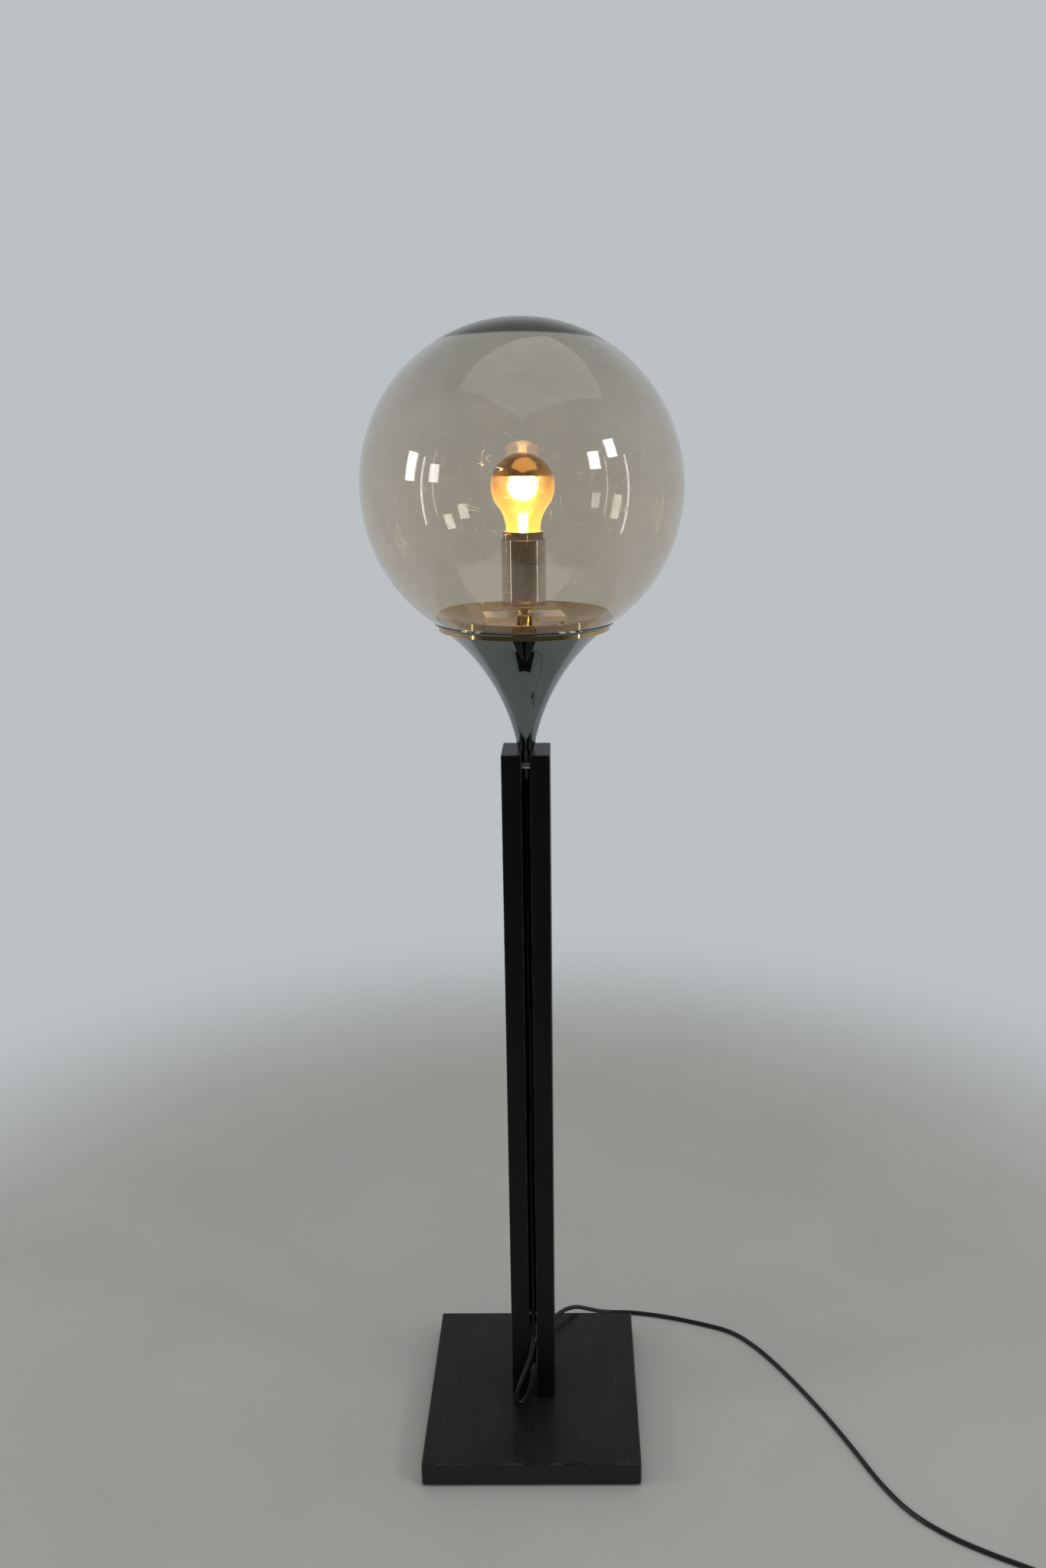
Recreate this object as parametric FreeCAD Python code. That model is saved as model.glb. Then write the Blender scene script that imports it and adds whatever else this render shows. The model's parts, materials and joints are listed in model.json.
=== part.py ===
"""Globe floor lamp: a smoked glass globe on a chrome trumpet, on a slotted wooden post and a square base.

Millimetres. +Z is up and +X is to the right. The origin lies on the floor, on the axis of the globe
and the post, so the viewer stands on the -Y side.
"""
import FreeCAD, Part
import math
import os

from FreeCAD import Vector

os.makedirs("parts", exist_ok=True)

# Clearances shared by the fits below.
FACE_GAP = 0.05          # between faces that touch
THREAD_GAP = 0.05        # round a threaded or driven piece, on the radius
SEAT_GAP = 0.3           # under a piece that lifts off its seat
RUNNING_GAP = 0.05       # round the rocker's pin, on the radius

# Base.
GLIDE_R = 6.0
GLIDE_H = 2.0
GLIDE_INSET = 16.0       # from the base's sides to the middle of a glide
BASE_SIDE = 233.5
BASE_H = 27.5
BASE_CHAMFER = 1.2
POST_SETBACK = 3.0       # the post stands this far behind the middle of the base

# Post: two boards with a slot between them, closed behind by a spine.
BOARD_W = 19.6
BOARD_D = 52.0
BOARD_H = 750.5
BOARD_CHAMFER = 0.7
SLOT_W = 8.2
SPINE_D = 9.0
SPINE_ABOVE_BASE = 66.0  # the cord passes under it
DOWEL_R = 4.0
DOWEL_LET_IN = 12.0      # into each board
DOWEL_ABOVE_BASE = 94.0

# Wood screws up through the base into the boards.
SCREW_R = 2.25
SCREW_HEAD_R = 4.4
SCREW_HEAD_H = 3.0
SCREW_LENGTH = 62.0
SCREW_SPREAD_Y = 14.0
SCREW_SINK = 8.0         # from the base's underside to the head
COUNTERBORE_R = 5.5

# Cross nut: a tapped bar let into both boards, which the stem tube pulls down on.
NUT_D = 18.0
NUT_H = 8.6
NUT_BELOW_TOP = 15.3
NUT_LET_IN = 12.0
NUT_GAP = 0.1

# Stem tube, through the trumpet and up to the lampholder.
STEM_R = 4.0
STEM_BORE_R = 3.0
STEM_BELOW_NUT = 10.0
LEAD_ABOVE_STEM = 2.0

# Globe.
GLOBE_R = 150.0
GLASS_WALL = 2.5
MOUTH_R = 82.4           # inside radius of the globe's opening
MOUTH_ABOVE_POST = 127.65

# Trumpet: a spun sheet, one arc from its foot to its rim.
TRUMPET_FOOT_R = 7.8
TRUMPET_RIM_R = 86.0
TRUMPET_FLARE_R = 196.2  # radius of the arc that the middle of the sheet follows
TRUMPET_WALL = 1.2
RIM_BEAD_R = 1.0

# Reflector dish, which stands in the trumpet's mouth and inside the globe.
DISH_LIP_GAP = 0.4       # to the globe's opening
DISH_LIP_H = 7.1         # lip above the plane of the globe's opening
DISH_WALL = 1.0
DISH_BOWL_R = 260.0      # radius of the bowl's sphere
DISH_STEP_R = 50.0       # the middle of the bowl is pressed a little deeper
DISH_STEP_H = 0.5

# Clamp strap over the dish, with folded edges and feet.
STRAP_T = 1.5
STRAP_HALF_L = 38.0
STRAP_HALF_D = 19.5
STRAP_WAIST_L = 17.0
STRAP_WAIST_D = 12.0
STRAP_FLANGE_H = 5.0
STRAP_ABOVE_DISH = 12.2  # strap's top above the middle of the dish
STRAP_TURN = 8.0         # degrees about the stem
COLUMN_R = 7.8           # spacer under the strap and coupler over it
COUPLER_H = 6.5

# Lampholder.
SLEEVE_R = 21.0
SLEEVE_WALL = 1.0
SLEEVE_H = 64.0
SLEEVE_ROUND_R = 4.0
LOCKNUT_FLATS = 13.0
LOCKNUT_H = 4.0
HOLDER_R = 18.8
HOLDER_WALL = 2.2
HOLDER_FLOOR = 6.0
HOLDER_DOME_H = 21.0
HOLDER_RING_ABOVE_SLEEVE = 7.1
INSERT_H = 11.0
INSERT_LEDGE = 1.5
THREAD_SHELL_R = 13.6    # inside radius
THREAD_SHELL_WALL = 0.6
THREAD_SHELL_H = 27.0
TERMINAL_R = 1.6
TERMINAL_L = 7.0
TERMINAL_HEAD_R = 2.8
TERMINAL_HEAD_H = 1.6
TERMINAL_X = 9.0
CONTACT_SPRING_W = 5.0
CONTACT_SPRING_L = 14.0
CONTACT_SPRING_T = 0.6
CONTACT_SPRING_RISE = 1.6

# Bulb.
BULB_R = 29.8
BULB_NECK_R = 16.2
BULB_NECK_H = 6.0        # neck's widest ring above the cap
BULB_SHOULDER = 38.0     # degrees below the bulb's middle
BULB_IN_CAP = 4.0
BULB_GLASS_T = 0.8
BULB_LENGTH = 105.0
CAP_R = 13.2
CAP_WALL = 0.5
CAP_H = 22.5
CAP_PITCH = 3.6
CAP_RIB_DEPTH = 0.9
CAP_RIBS = 5
CAP_INSULATOR_H = 3.2
TIP_R = 4.6
TIP_H = 1.4
BULB_MOUNT_R = 4.2
BULB_MOUNT_H = 27.0
LEAD_WIRE_R = 0.4
FILAMENT_R = 0.45
FILAMENT_LOOP_R = 9.0
FILAMENT_OPENING = 50.0  # degrees left open in the loop

# Cord.
CORD_R = 2.5
CORE_R = 1.1
CORE_SPREAD = 1.3
ARC_SHARE = 0.45         # of the shorter run, taken by a bend
STRAIGHT = 1e-6          # a turn under this is none
CORD_END = 8.0           # straight length at the ends of the wound cord

# Switch on the cord.
SWITCH_L = 64.0
SWITCH_W = 26.0
SWITCH_H = 16.0
SWITCH_CORNER_R = 8.0
SWITCH_WALL = 2.0
SWITCH_AXIS_Z = 7.0      # height of the cord through it
WINDOW_L = 22.0
WINDOW_W = 12.0
ROCKER_END_GAP = 1.0
ROCKER_SIDE_GAP = 0.5
ROCKER_RISE = 5.2        # from the pin up to the rocker's ends
ROCKER_DIP = 0.7         # hollow in the middle of its top
ROCKER_DROP = 3.0        # from the pin down to its underside
ROCKER_TILT = 7.0        # degrees, switched on
PIN_R = 1.0
PIN_BELOW_COVER = 5.0
LUG_T = 2.0
LUG_W = 6.0
LUG_DROP = 5.5
SWITCH_SCREW_R = 1.2
SWITCH_SCREW_HEAD_R = 2.3
SWITCH_SCREW_HEAD_H = 1.4
SWITCH_SCREW_L = 10.5
SWITCH_SCREW_SINK = 1.7
SWITCH_SCREW_INSET = 9.0
SWITCH_POST_R = 3.2
CONTACT_W = 4.0
CONTACT_H = 3.0
CONTACT_L = 12.0
CONTACT_APART = 8.0

# Coil of the length that is left over.
COIL_IN_R = 20.0
COIL_STEP = 5.6          # from one turn to the next, and from layer to layer
COIL_TURNS = 6
TURN_PARTS = 4           # stations in one turn
COIL_LEAD_IN = 29.5      # level length before the first turn
COIL_LEAD_OUT = 14.0     # level length after the last turn
COIL_SLOPE = 20.0        # length in which the cord comes down from the switch, or to the plug
TIE_W = 6.0
TIE_T = 1.2
TIE_GAP = 0.4
TIE_ROUND_R = 1.2

# Plug.
PLUG_T = 13.7
PLUG_FACE_W = 35.3
PLUG_NECK_W = 13.0
PLUG_STRAIGHT = 9.0
PLUG_L = 34.0
PLUG_EDGE_R = 2.0
BOOT_R = 4.4
BOOT_L = 12.0
PLUG_PIN_R = 2.0
PLUG_PIN_L = 19.0
PLUG_PIN_SPACING = 18.6

# Route of the lead in the slot, from under the stem down to where the free cord starts, chosen by
# eye. Each height is a share of the way from the free cord's start up to the post's top.
LEAD_IN_SLOT = [
    (0.0, 0.0, 0.888),
    (0.6, -5.0, 0.805),
    (-1.0, -9.0, 0.671),
    (1.2, -8.0, 0.528),
    (0.3, -4.0, 0.386),
    (-0.8, -6.0, 0.244),
    (0.4, -10.0, 0.117),
    (0.2, -13.0, 0.042),
    (0.2, -19.0, 0.0),
]

# Route of the free cord from the slot, chosen by eye: a loose bight in front of the post, back
# through the slot, over the base's rear edge and round on the floor to the switch.
CORD_ON_FLOOR_Z = CORD_R
FREE_CORD = [
    (0.2, -19.0, 112.0),
    (0.4, -31.0, 99.0),
    (-9.4, -36.0, 72.7),
    (-17.0, -41.0, 55.0),
    (-20.0, -42.0, 37.5),
    (-9.5, -36.0, 33.0),
    (-2.6, -32.5, 51.5),
    (0.5, -24.0, 72.6),
    (0.4, -3.0, 80.0),
    (0.3, 24.0, 64.0),
    (4.0, 40.0, 50.0),
    (9.5, 62.0, 41.0),
    (17.0, 84.0, 38.5),
    (29.0, 102.0, 40.5),
    (47.0, 116.5, 36.5),
    (63.0, 132.0, 20.0),
    (85.0, 147.0, CORD_ON_FLOOR_Z),
    (120.0, 147.0, CORD_ON_FLOOR_Z),
    (165.0, 138.0, CORD_ON_FLOOR_Z),
    (208.0, 124.5, CORD_ON_FLOOR_Z),
    (243.0, 111.0, CORD_ON_FLOOR_Z),
    (269.0, 84.0, CORD_ON_FLOOR_Z),
    (292.0, 49.5, CORD_ON_FLOOR_Z),
    (314.0, 10.0, CORD_ON_FLOOR_Z),
    (336.0, -34.0, CORD_ON_FLOOR_Z),
    (354.0, -76.0, CORD_ON_FLOOR_Z),
    (370.0, -117.0, CORD_ON_FLOOR_Z),
    (392.0, -156.0, CORD_ON_FLOOR_Z),
    (424.0, -184.5, CORD_ON_FLOOR_Z),
    (461.0, -206.0, CORD_ON_FLOOR_Z),
    (500.0, -224.5, CORD_ON_FLOOR_Z),
    (531.0, -242.5, CORD_ON_FLOOR_Z),
    (538.5, -284.0, CORD_ON_FLOOR_Z),
    (511.5, -316.0, SWITCH_AXIS_Z),
    (473.5, -316.0, SWITCH_AXIS_Z),
]

# Levels and radii that follow from the sizes above.
BASE_Z = GLIDE_H
BASE_TOP = BASE_Z + BASE_H
POST_TOP = BASE_TOP + BOARD_H
BOARD_X = SLOT_W / 2 + BOARD_W / 2
NUT_Z = POST_TOP - NUT_BELOW_TOP
MOUTH_Z = POST_TOP + MOUTH_ABOVE_POST
GLOBE_INSIDE_R = GLOBE_R - GLASS_WALL
GLOBE_Z = MOUTH_Z + math.sqrt(GLOBE_INSIDE_R**2 - MOUTH_R**2)
HOLE_R = STEM_R + THREAD_GAP
DISH_LIP_R = MOUTH_R - DISH_LIP_GAP
DISH_LIP_Z = MOUTH_Z + DISH_LIP_H
DISH_EDGE_R = DISH_LIP_R - DISH_WALL
DISH_EDGE_Z = DISH_LIP_Z - DISH_WALL / 2


def bowl_z(radius):
    """Height of the bowl's upper face, outside its pressed middle."""
    drop = math.sqrt(DISH_BOWL_R**2 - radius**2) - math.sqrt(DISH_BOWL_R**2 - DISH_EDGE_R**2)
    return DISH_EDGE_Z - drop


def pressed_z(radius):
    """Height of the upper face in the pressed middle."""
    return bowl_z(radius) - DISH_STEP_H


DISH_Z = pressed_z(0)
STRAP_TOP = DISH_Z + STRAP_ABOVE_DISH
SLEEVE_Z = STRAP_TOP + COUPLER_H
SLEEVE_TOP = SLEEVE_Z + SLEEVE_H
LOCKNUT_Z = SLEEVE_Z + SLEEVE_WALL
DOME_Z = LOCKNUT_Z + LOCKNUT_H
DOME_TOP = DOME_Z + HOLDER_DOME_H
STEM_TOP = DOME_Z + HOLDER_FLOOR
HOLDER_INSIDE_R = HOLDER_R - HOLDER_WALL
INSERT_Z = DOME_TOP - INSERT_LEDGE
INSERT_TOP = INSERT_Z + INSERT_H
TERMINAL_HEAD_Z = INSERT_Z - TERMINAL_HEAD_H
RING_TOP = SLEEVE_TOP + HOLDER_RING_ABOVE_SLEEVE
SPRING_TOP = INSERT_TOP + CONTACT_SPRING_RISE
TIP_Z = SPRING_TOP + SEAT_GAP
INSULATOR_Z = TIP_Z + TIP_H
CAP_Z = INSULATOR_Z + CAP_INSULATOR_H
CAP_TOP = CAP_Z + CAP_H
CAP_INSIDE_R = CAP_R - CAP_WALL
BULB_TOP = TIP_Z + BULB_LENGTH
BULB_Z = BULB_TOP - BULB_R
MOUNT_Z = CAP_TOP - BULB_IN_CAP
MOUNT_TOP = MOUNT_Z + BULB_MOUNT_H

SWITCH_IN_X, SWITCH_Y, _ = FREE_CORD[-1]
SWITCH_X = SWITCH_IN_X - SWITCH_L / 2
SWITCH_OUT_X = SWITCH_IN_X - SWITCH_L
PIN_Z = SWITCH_H - PIN_BELOW_COVER
SWITCH_SCREW_XS = [SWITCH_X + side * (SWITCH_L / 2 - SWITCH_SCREW_INSET) for side in (-1, 1)]

COIL_OUT_R = COIL_IN_R + COIL_STEP * COIL_TURNS / 2
COIL_LOW_Z = TIE_T + TIE_GAP + CORD_R
COIL_HIGH_Z = COIL_LOW_Z + COIL_STEP
COIL_X = SWITCH_OUT_X - CORD_END - COIL_SLOPE - COIL_LEAD_IN
COIL_Y = SWITCH_Y + COIL_OUT_R
PLUG_Z = PLUG_T / 2
PLUG_SLOPE_X = COIL_X - COIL_LEAD_OUT
PLUG_IN_X = PLUG_SLOPE_X - COIL_SLOPE - CORD_END


# Plain shapes.
def cylinder(radius, low, high, x=0.0, y=0.0):
    return Part.makeCylinder(radius, high - low, Vector(x, y, low))


def bar_x(radius, low, high, y, z):
    return Part.makeCylinder(radius, high - low, Vector(low, y, z), Vector(1, 0, 0))


def bar_y(radius, low, high, x, z):
    return Part.makeCylinder(radius, high - low, Vector(x, low, z), Vector(0, 1, 0))


def pipe(outer, inner, low, high):
    return cylinder(outer, low, high).cut(cylinder(inner, low, high))


def block(x, y, z):
    """A box from three (low, high) pairs."""
    return Part.makeBox(x[1] - x[0], y[1] - y[0], z[1] - z[0], Vector(x[0], y[0], z[0]))


def rod(radius, start, end):
    return Part.makeCylinder(radius, (end - start).Length, start, end - start)


def mirror_x(shape):
    return shape.mirror(Vector(0, 0, 0), Vector(1, 0, 0))


def fuse(shapes):
    return shapes[0].multiFuse(shapes[1:]).removeSplitter()


def cut_all(shape, tools):
    for tool in tools:
        shape = shape.cut(tool)
    return shape


def edges_along(shape, axis):
    """The straight edges of a shape that run along an axis."""
    straight = [e for e in shape.Edges if isinstance(e.Curve, Part.Line)]
    return [e for e in straight if e.Curve.Direction.cross(axis).Length < 1e-6]


# Profiles in the XZ plane, spun about the Z axis.
def at(radius, z):
    return Vector(radius, 0, z)


def line(start, end):
    return Part.LineSegment(start, end).toShape()


def arc(start, middle, end):
    return Part.Arc(start, middle, end).toShape()


def lines(*points):
    return [line(a, b) for a, b in zip(points, points[1:])]


def spin(edges):
    return Part.Face(Part.Wire(edges)).revolve(Vector(0, 0, 0), Vector(0, 0, 1), 360)


def tangent_arc(start, heading, end):
    """The arc that leaves start along heading and ends at end."""
    chord = end - start
    across = (heading - chord * (chord.dot(heading) / chord.dot(chord))).normalize()
    sagitta = chord.Length / 2 * math.tan(chord.getAngle(heading) / 2)
    return arc(start, (start + end) * 0.5 + across * sagitta, end)


# Cords: straight runs joined by tangent arcs, and wound lengths of arcs only.
def bend(before, corner, after):
    """The tangent arc at one corner of a route: its start, middle, end and radius."""
    back = before - corner
    ahead = after - corner
    reach = ARC_SHARE * min(back.Length, ahead.Length)
    back.normalize()
    ahead.normalize()
    half_turn = (math.pi - back.getAngle(ahead)) / 2
    radius = reach / math.tan(half_turn)
    inward = (back + ahead).normalize()
    middle = corner + inward * (radius / math.cos(half_turn) - radius)
    return corner + back * reach, middle, corner + ahead * reach, radius


def route_edges(points, name):
    """Edges along a route, whose bend radii are printed."""
    points = [Vector(*point) for point in points]
    bends = [bend(*three) for three in zip(points, points[1:], points[2:])]
    edges = []
    place = points[0]
    for start, middle, end, _ in bends:
        edges += [line(place, start), arc(start, middle, end)]
        place = end
    edges.append(line(place, points[-1]))
    print(name, "bend radii", [round(radius, 1) for *_, radius in bends])
    return edges


def link(station, following):
    """A straight line, or two tangent arcs, from one (point, heading) to the next."""
    (start, out), (end, into) = station, following
    chord = end - start
    if chord.cross(out).Length < STRAIGHT and chord.cross(into).Length < STRAIGHT:
        return [line(start, end)]
    spread = 2 * (1 - out.dot(into))
    along = chord.dot(out + into)
    if spread < STRAIGHT:
        reach = chord.dot(chord) / (2 * along)
    else:
        reach = (math.sqrt(along**2 + spread * chord.dot(chord)) - along) / spread
    first = start + out * reach
    second = end - into * reach
    meeting = (first + second) * 0.5
    return [tangent_arc(start, out, meeting), tangent_arc(meeting, second - first, end)]


def tube(edges, radius, name):
    """A round tube along edges, whose volume is compared with its section times its length."""
    path = Part.Wire(edges)
    start = edges[0].valueAt(edges[0].FirstParameter)
    heading = edges[0].tangentAt(edges[0].FirstParameter)
    section = Part.Wire([Part.makeCircle(radius, start, heading)])
    solid = path.makePipeShell([section], True, False)
    share = solid.Volume / (math.pi * radius**2 * path.Length)
    print(f"{name}: length {path.Length:.1f}, volume {share:.4f} of section times length")
    return solid


def least_gap(edges, radius):
    """The least gap of a wound cord to itself, measured on points a millimetre apart."""
    places = Part.Wire(edges).discretize(Distance=1.0)
    skipped = math.ceil(6 * radius)
    apart = min(
        (a - b).Length
        for k, a in enumerate(places)
        for b in places[k + skipped:]
    )
    return apart - 2 * radius


# Base and post.
def base_glides():
    reach = BASE_SIDE / 2 - GLIDE_INSET
    pads = [
        cylinder(GLIDE_R, 0, GLIDE_H, x, y - POST_SETBACK)
        for x in (-reach, reach)
        for y in (-reach, reach)
    ]
    return Part.makeCompound(pads)


def screw_places():
    return [(x, y) for x in (-BOARD_X, BOARD_X) for y in (-SCREW_SPREAD_Y, SCREW_SPREAD_Y)]


def base_plate():
    half = BASE_SIDE / 2
    plate = block((-half, half), (-half - POST_SETBACK, half - POST_SETBACK), (BASE_Z, BASE_TOP))
    plate = plate.makeChamfer(BASE_CHAMFER, plate.Edges)
    for x, y in screw_places():
        plate = plate.cut(cylinder(SCREW_R + THREAD_GAP, BASE_Z, BASE_TOP, x, y))
        plate = plate.cut(cylinder(COUNTERBORE_R, BASE_Z, BASE_Z + SCREW_SINK, x, y))
    return plate


def base_screws():
    seat = BASE_Z + SCREW_SINK
    point = 2 * SCREW_R
    screws = []
    for x, y in screw_places():
        point_z = seat + SCREW_LENGTH - point
        head = cylinder(SCREW_HEAD_R, seat - SCREW_HEAD_H, seat, x, y)
        shank = cylinder(SCREW_R, seat, point_z, x, y)
        screws.append(fuse([head, shank, Part.makeCone(SCREW_R, 0, point, Vector(x, y, point_z))]))
    return Part.makeCompound(screws)


def post_board():
    """The right-hand board, with its pockets and pilot holes."""
    half = BOARD_D / 2
    board = block((SLOT_W / 2, SLOT_W / 2 + BOARD_W), (-half, half), (BASE_TOP, POST_TOP))
    board = board.makeChamfer(BOARD_CHAMFER, board.Edges)
    hole_top = BASE_Z + SCREW_SINK + SCREW_LENGTH + THREAD_GAP
    pilots = [
        cylinder(SCREW_R + THREAD_GAP, BASE_TOP, hole_top, x, y)
        for x, y in screw_places()
        if x > 0
    ]
    return cut_all(board, [nut_bar(NUT_GAP), dowel_bar(THREAD_GAP), *pilots])


def post_spine():
    """The strip glued between the boards' rear edges."""
    rear = BOARD_D / 2 - BOARD_CHAMFER
    return block(
        (-SLOT_W / 2, SLOT_W / 2),
        (rear - SPINE_D, rear),
        (BASE_TOP + SPINE_ABOVE_BASE, POST_TOP - BOARD_CHAMFER),
    )


def nut_bar(grow):
    """The cross nut's outline, or its pocket when grown."""
    reach = SLOT_W / 2 + NUT_LET_IN + grow
    half_h = NUT_H / 2 + grow
    flat = (NUT_D - NUT_H) / 2
    bar = block((-reach, reach), (-flat, flat), (NUT_Z - half_h, NUT_Z + half_h))
    return fuse([bar] + [bar_x(half_h, -reach, reach, y, NUT_Z) for y in (-flat, flat)])


def cross_nut():
    return nut_bar(0).cut(cylinder(HOLE_R, NUT_Z - NUT_H, NUT_Z + NUT_H))


def dowel_bar(grow):
    reach = SLOT_W / 2 + DOWEL_LET_IN + grow
    return bar_x(DOWEL_R + grow, -reach, reach, 0, BASE_TOP + DOWEL_ABOVE_BASE)


def stem_tube():
    return pipe(STEM_R, STEM_BORE_R, NUT_Z - NUT_H / 2 - STEM_BELOW_NUT, STEM_TOP)


# Trumpet, dish and strap.
def flare_centre():
    """Centre of the arc that the sheet's middle follows from its foot into the rim's bead."""
    foot = at(TRUMPET_FOOT_R - TRUMPET_WALL / 2, POST_TOP)
    along = BEAD_CENTRE - foot
    off = Vector(along.z, 0, -along.x).normalize()
    return (foot + BEAD_CENTRE) * 0.5 + off * math.sqrt(TRUMPET_FLARE_R**2 - along.dot(along) / 4)


BEAD_CENTRE = at(TRUMPET_RIM_R - RIM_BEAD_R, MOUTH_Z - SEAT_GAP - RIM_BEAD_R)
FLARE_CENTRE = flare_centre()
FLARE_OUTER_R = TRUMPET_FLARE_R - TRUMPET_WALL / 2
FLARE_INNER_R = TRUMPET_FLARE_R + TRUMPET_WALL / 2


def on_flare(radius, angle):
    return FLARE_CENTRE + at(math.cos(angle), math.sin(angle)) * radius


def flare_arc(radius, low_z):
    """The arc of one face of the sheet, from a height up to the rim."""
    low = math.pi - math.asin((low_z - FLARE_CENTRE.z) / radius)
    rise = BEAD_CENTRE - FLARE_CENTRE
    high = math.atan2(rise.z, rise.x)
    return [on_flare(radius, angle) for angle in (low, (low + high) / 2, high)]


def trumpet_inside_z(radius):
    """Height of the trumpet's inner face at a radius."""
    return FLARE_CENTRE.z + math.sqrt(FLARE_INNER_R**2 - (FLARE_CENTRE.x - radius) ** 2)


def trumpet_cone():
    """A spun sheet with a floor that stands on the boards, and a bead round its rim."""
    floor_top = POST_TOP + TRUMPET_WALL
    outside = flare_arc(FLARE_OUTER_R, POST_TOP)
    inside = flare_arc(FLARE_INNER_R, floor_top)[::-1]
    sheet = spin([
        arc(*outside),
        line(outside[-1], inside[0]),
        arc(*inside),
        *lines(inside[-1], at(HOLE_R, floor_top), at(HOLE_R, POST_TOP), outside[0]),
    ])
    bead = Part.makeTorus(BEAD_CENTRE.x, RIM_BEAD_R, Vector(0, 0, BEAD_CENTRE.z))
    return sheet.fuse(bead)


def arc_of(height, start_r, end_r, drop=0.0):
    """An arc through heights that a function gives at three radii."""
    return arc(*[at(r, height(r) - drop) for r in (start_r, (start_r + end_r) / 2, end_r)])


def reflector_dish():
    """A bowl with a pressed middle, a rounded lip and a skirt that stands in the trumpet's mouth."""
    skirt_z = trumpet_inside_z(DISH_LIP_R) + FACE_GAP
    under = DISH_STEP_H + DISH_WALL
    lip_middle = at((DISH_EDGE_R + DISH_LIP_R) / 2, DISH_LIP_Z)
    edge = at(DISH_EDGE_R, DISH_EDGE_Z)
    lip = at(DISH_LIP_R, DISH_EDGE_Z)
    return spin([
        arc_of(pressed_z, HOLE_R, DISH_STEP_R),
        line(at(DISH_STEP_R, pressed_z(DISH_STEP_R)), at(DISH_STEP_R, bowl_z(DISH_STEP_R))),
        arc_of(bowl_z, DISH_STEP_R, DISH_EDGE_R),
        arc(edge, lip_middle, lip),
        *lines(
            lip,
            at(DISH_LIP_R, skirt_z),
            at(DISH_EDGE_R, skirt_z),
            at(DISH_EDGE_R, DISH_EDGE_Z - under),
        ),
        arc_of(bowl_z, DISH_EDGE_R, HOLE_R, under),
        line(at(HOLE_R, bowl_z(HOLE_R) - under), at(HOLE_R, pressed_z(HOLE_R))),
    ])


def clamp_strap():
    """A flat strap with a waist, folded-down edges on both wings and feet that stand on the dish."""
    reach = STRAP_HALF_L
    depth = STRAP_HALF_D
    waist = STRAP_WAIST_L / 2
    foot_z = pressed_z(math.hypot(reach, depth)) + FACE_GAP
    top = STRAP_TOP
    plate = block((-reach, reach), (-depth, depth), (top - STRAP_T, top))
    wings = [
        block((waist, reach), (-depth, STRAP_T - depth), (top - STRAP_FLANGE_H, top)),
        block((waist, reach), (depth - STRAP_T, depth), (top - STRAP_FLANGE_H, top)),
        block((reach - STRAP_T, reach), (-depth, depth), (foot_z, top)),
    ]
    strap = fuse([plate, *wings, *[mirror_x(wing) for wing in wings]])
    notches = [
        block((-waist, waist), (side, side + depth), (foot_z, top))
        for side in (STRAP_WAIST_D / 2, -STRAP_WAIST_D / 2 - depth)
    ]
    strap = cut_all(strap, [*notches, cylinder(HOLE_R, foot_z, top)])
    strap.rotate(Vector(0, 0, 0), Vector(0, 0, 1), STRAP_TURN)
    return strap


def strap_spacer():
    return pipe(COLUMN_R, HOLE_R, pressed_z(COLUMN_R) + FACE_GAP, STRAP_TOP - STRAP_T)


def socket_coupler():
    return pipe(COLUMN_R, HOLE_R, STRAP_TOP, SLEEVE_Z)


# Globe.
def glass_globe():
    centre = Vector(0, 0, GLOBE_Z)
    shell = Part.makeSphere(GLOBE_R, centre).cut(Part.makeSphere(GLOBE_INSIDE_R, centre))
    below = block((-GLOBE_R, GLOBE_R), (-GLOBE_R, GLOBE_R), (GLOBE_Z - 2 * GLOBE_R, MOUTH_Z))
    return shell.cut(below)


# Lampholder.
def socket_sleeve():
    """A chrome cup with a rounded bottom edge."""
    inner_r = SLEEVE_R - SLEEVE_WALL
    turn = at(SLEEVE_R - SLEEVE_ROUND_R, SLEEVE_Z + SLEEVE_ROUND_R)
    slant = at(1, -1).normalize()
    inner_round = SLEEVE_ROUND_R - SLEEVE_WALL
    floor_top = SLEEVE_Z + SLEEVE_WALL
    return spin([
        line(at(HOLE_R, SLEEVE_Z), at(turn.x, SLEEVE_Z)),
        arc(at(turn.x, SLEEVE_Z), turn + slant * SLEEVE_ROUND_R, at(SLEEVE_R, turn.z)),
        *lines(
            at(SLEEVE_R, turn.z),
            at(SLEEVE_R, SLEEVE_TOP),
            at(inner_r, SLEEVE_TOP),
            at(inner_r, turn.z),
        ),
        arc(at(inner_r, turn.z), turn + slant * inner_round, at(turn.x, floor_top)),
        *lines(at(turn.x, floor_top), at(HOLE_R, floor_top), at(HOLE_R, SLEEVE_Z)),
    ])


def socket_locknut():
    corner_r = LOCKNUT_FLATS / math.sqrt(3)
    corners = [
        Vector(corner_r * math.cos(k * math.pi / 3), corner_r * math.sin(k * math.pi / 3), LOCKNUT_Z)
        for k in range(7)
    ]
    hexagon = Part.Face(Part.Wire(lines(*corners))).extrude(Vector(0, 0, LOCKNUT_H))
    return hexagon.cut(cylinder(HOLE_R, LOCKNUT_Z, DOME_Z))


def socket_dome():
    """The lampholder's lower half, screwed on the stem, with a ledge for the insert."""
    return cut_all(
        cylinder(HOLDER_R, DOME_Z, DOME_TOP),
        [
            cylinder(HOLE_R, DOME_Z, STEM_TOP),
            cylinder(HOLDER_INSIDE_R - INSERT_LEDGE, STEM_TOP, DOME_TOP),
            cylinder(HOLDER_INSIDE_R, INSERT_Z, DOME_TOP),
        ],
    )


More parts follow.
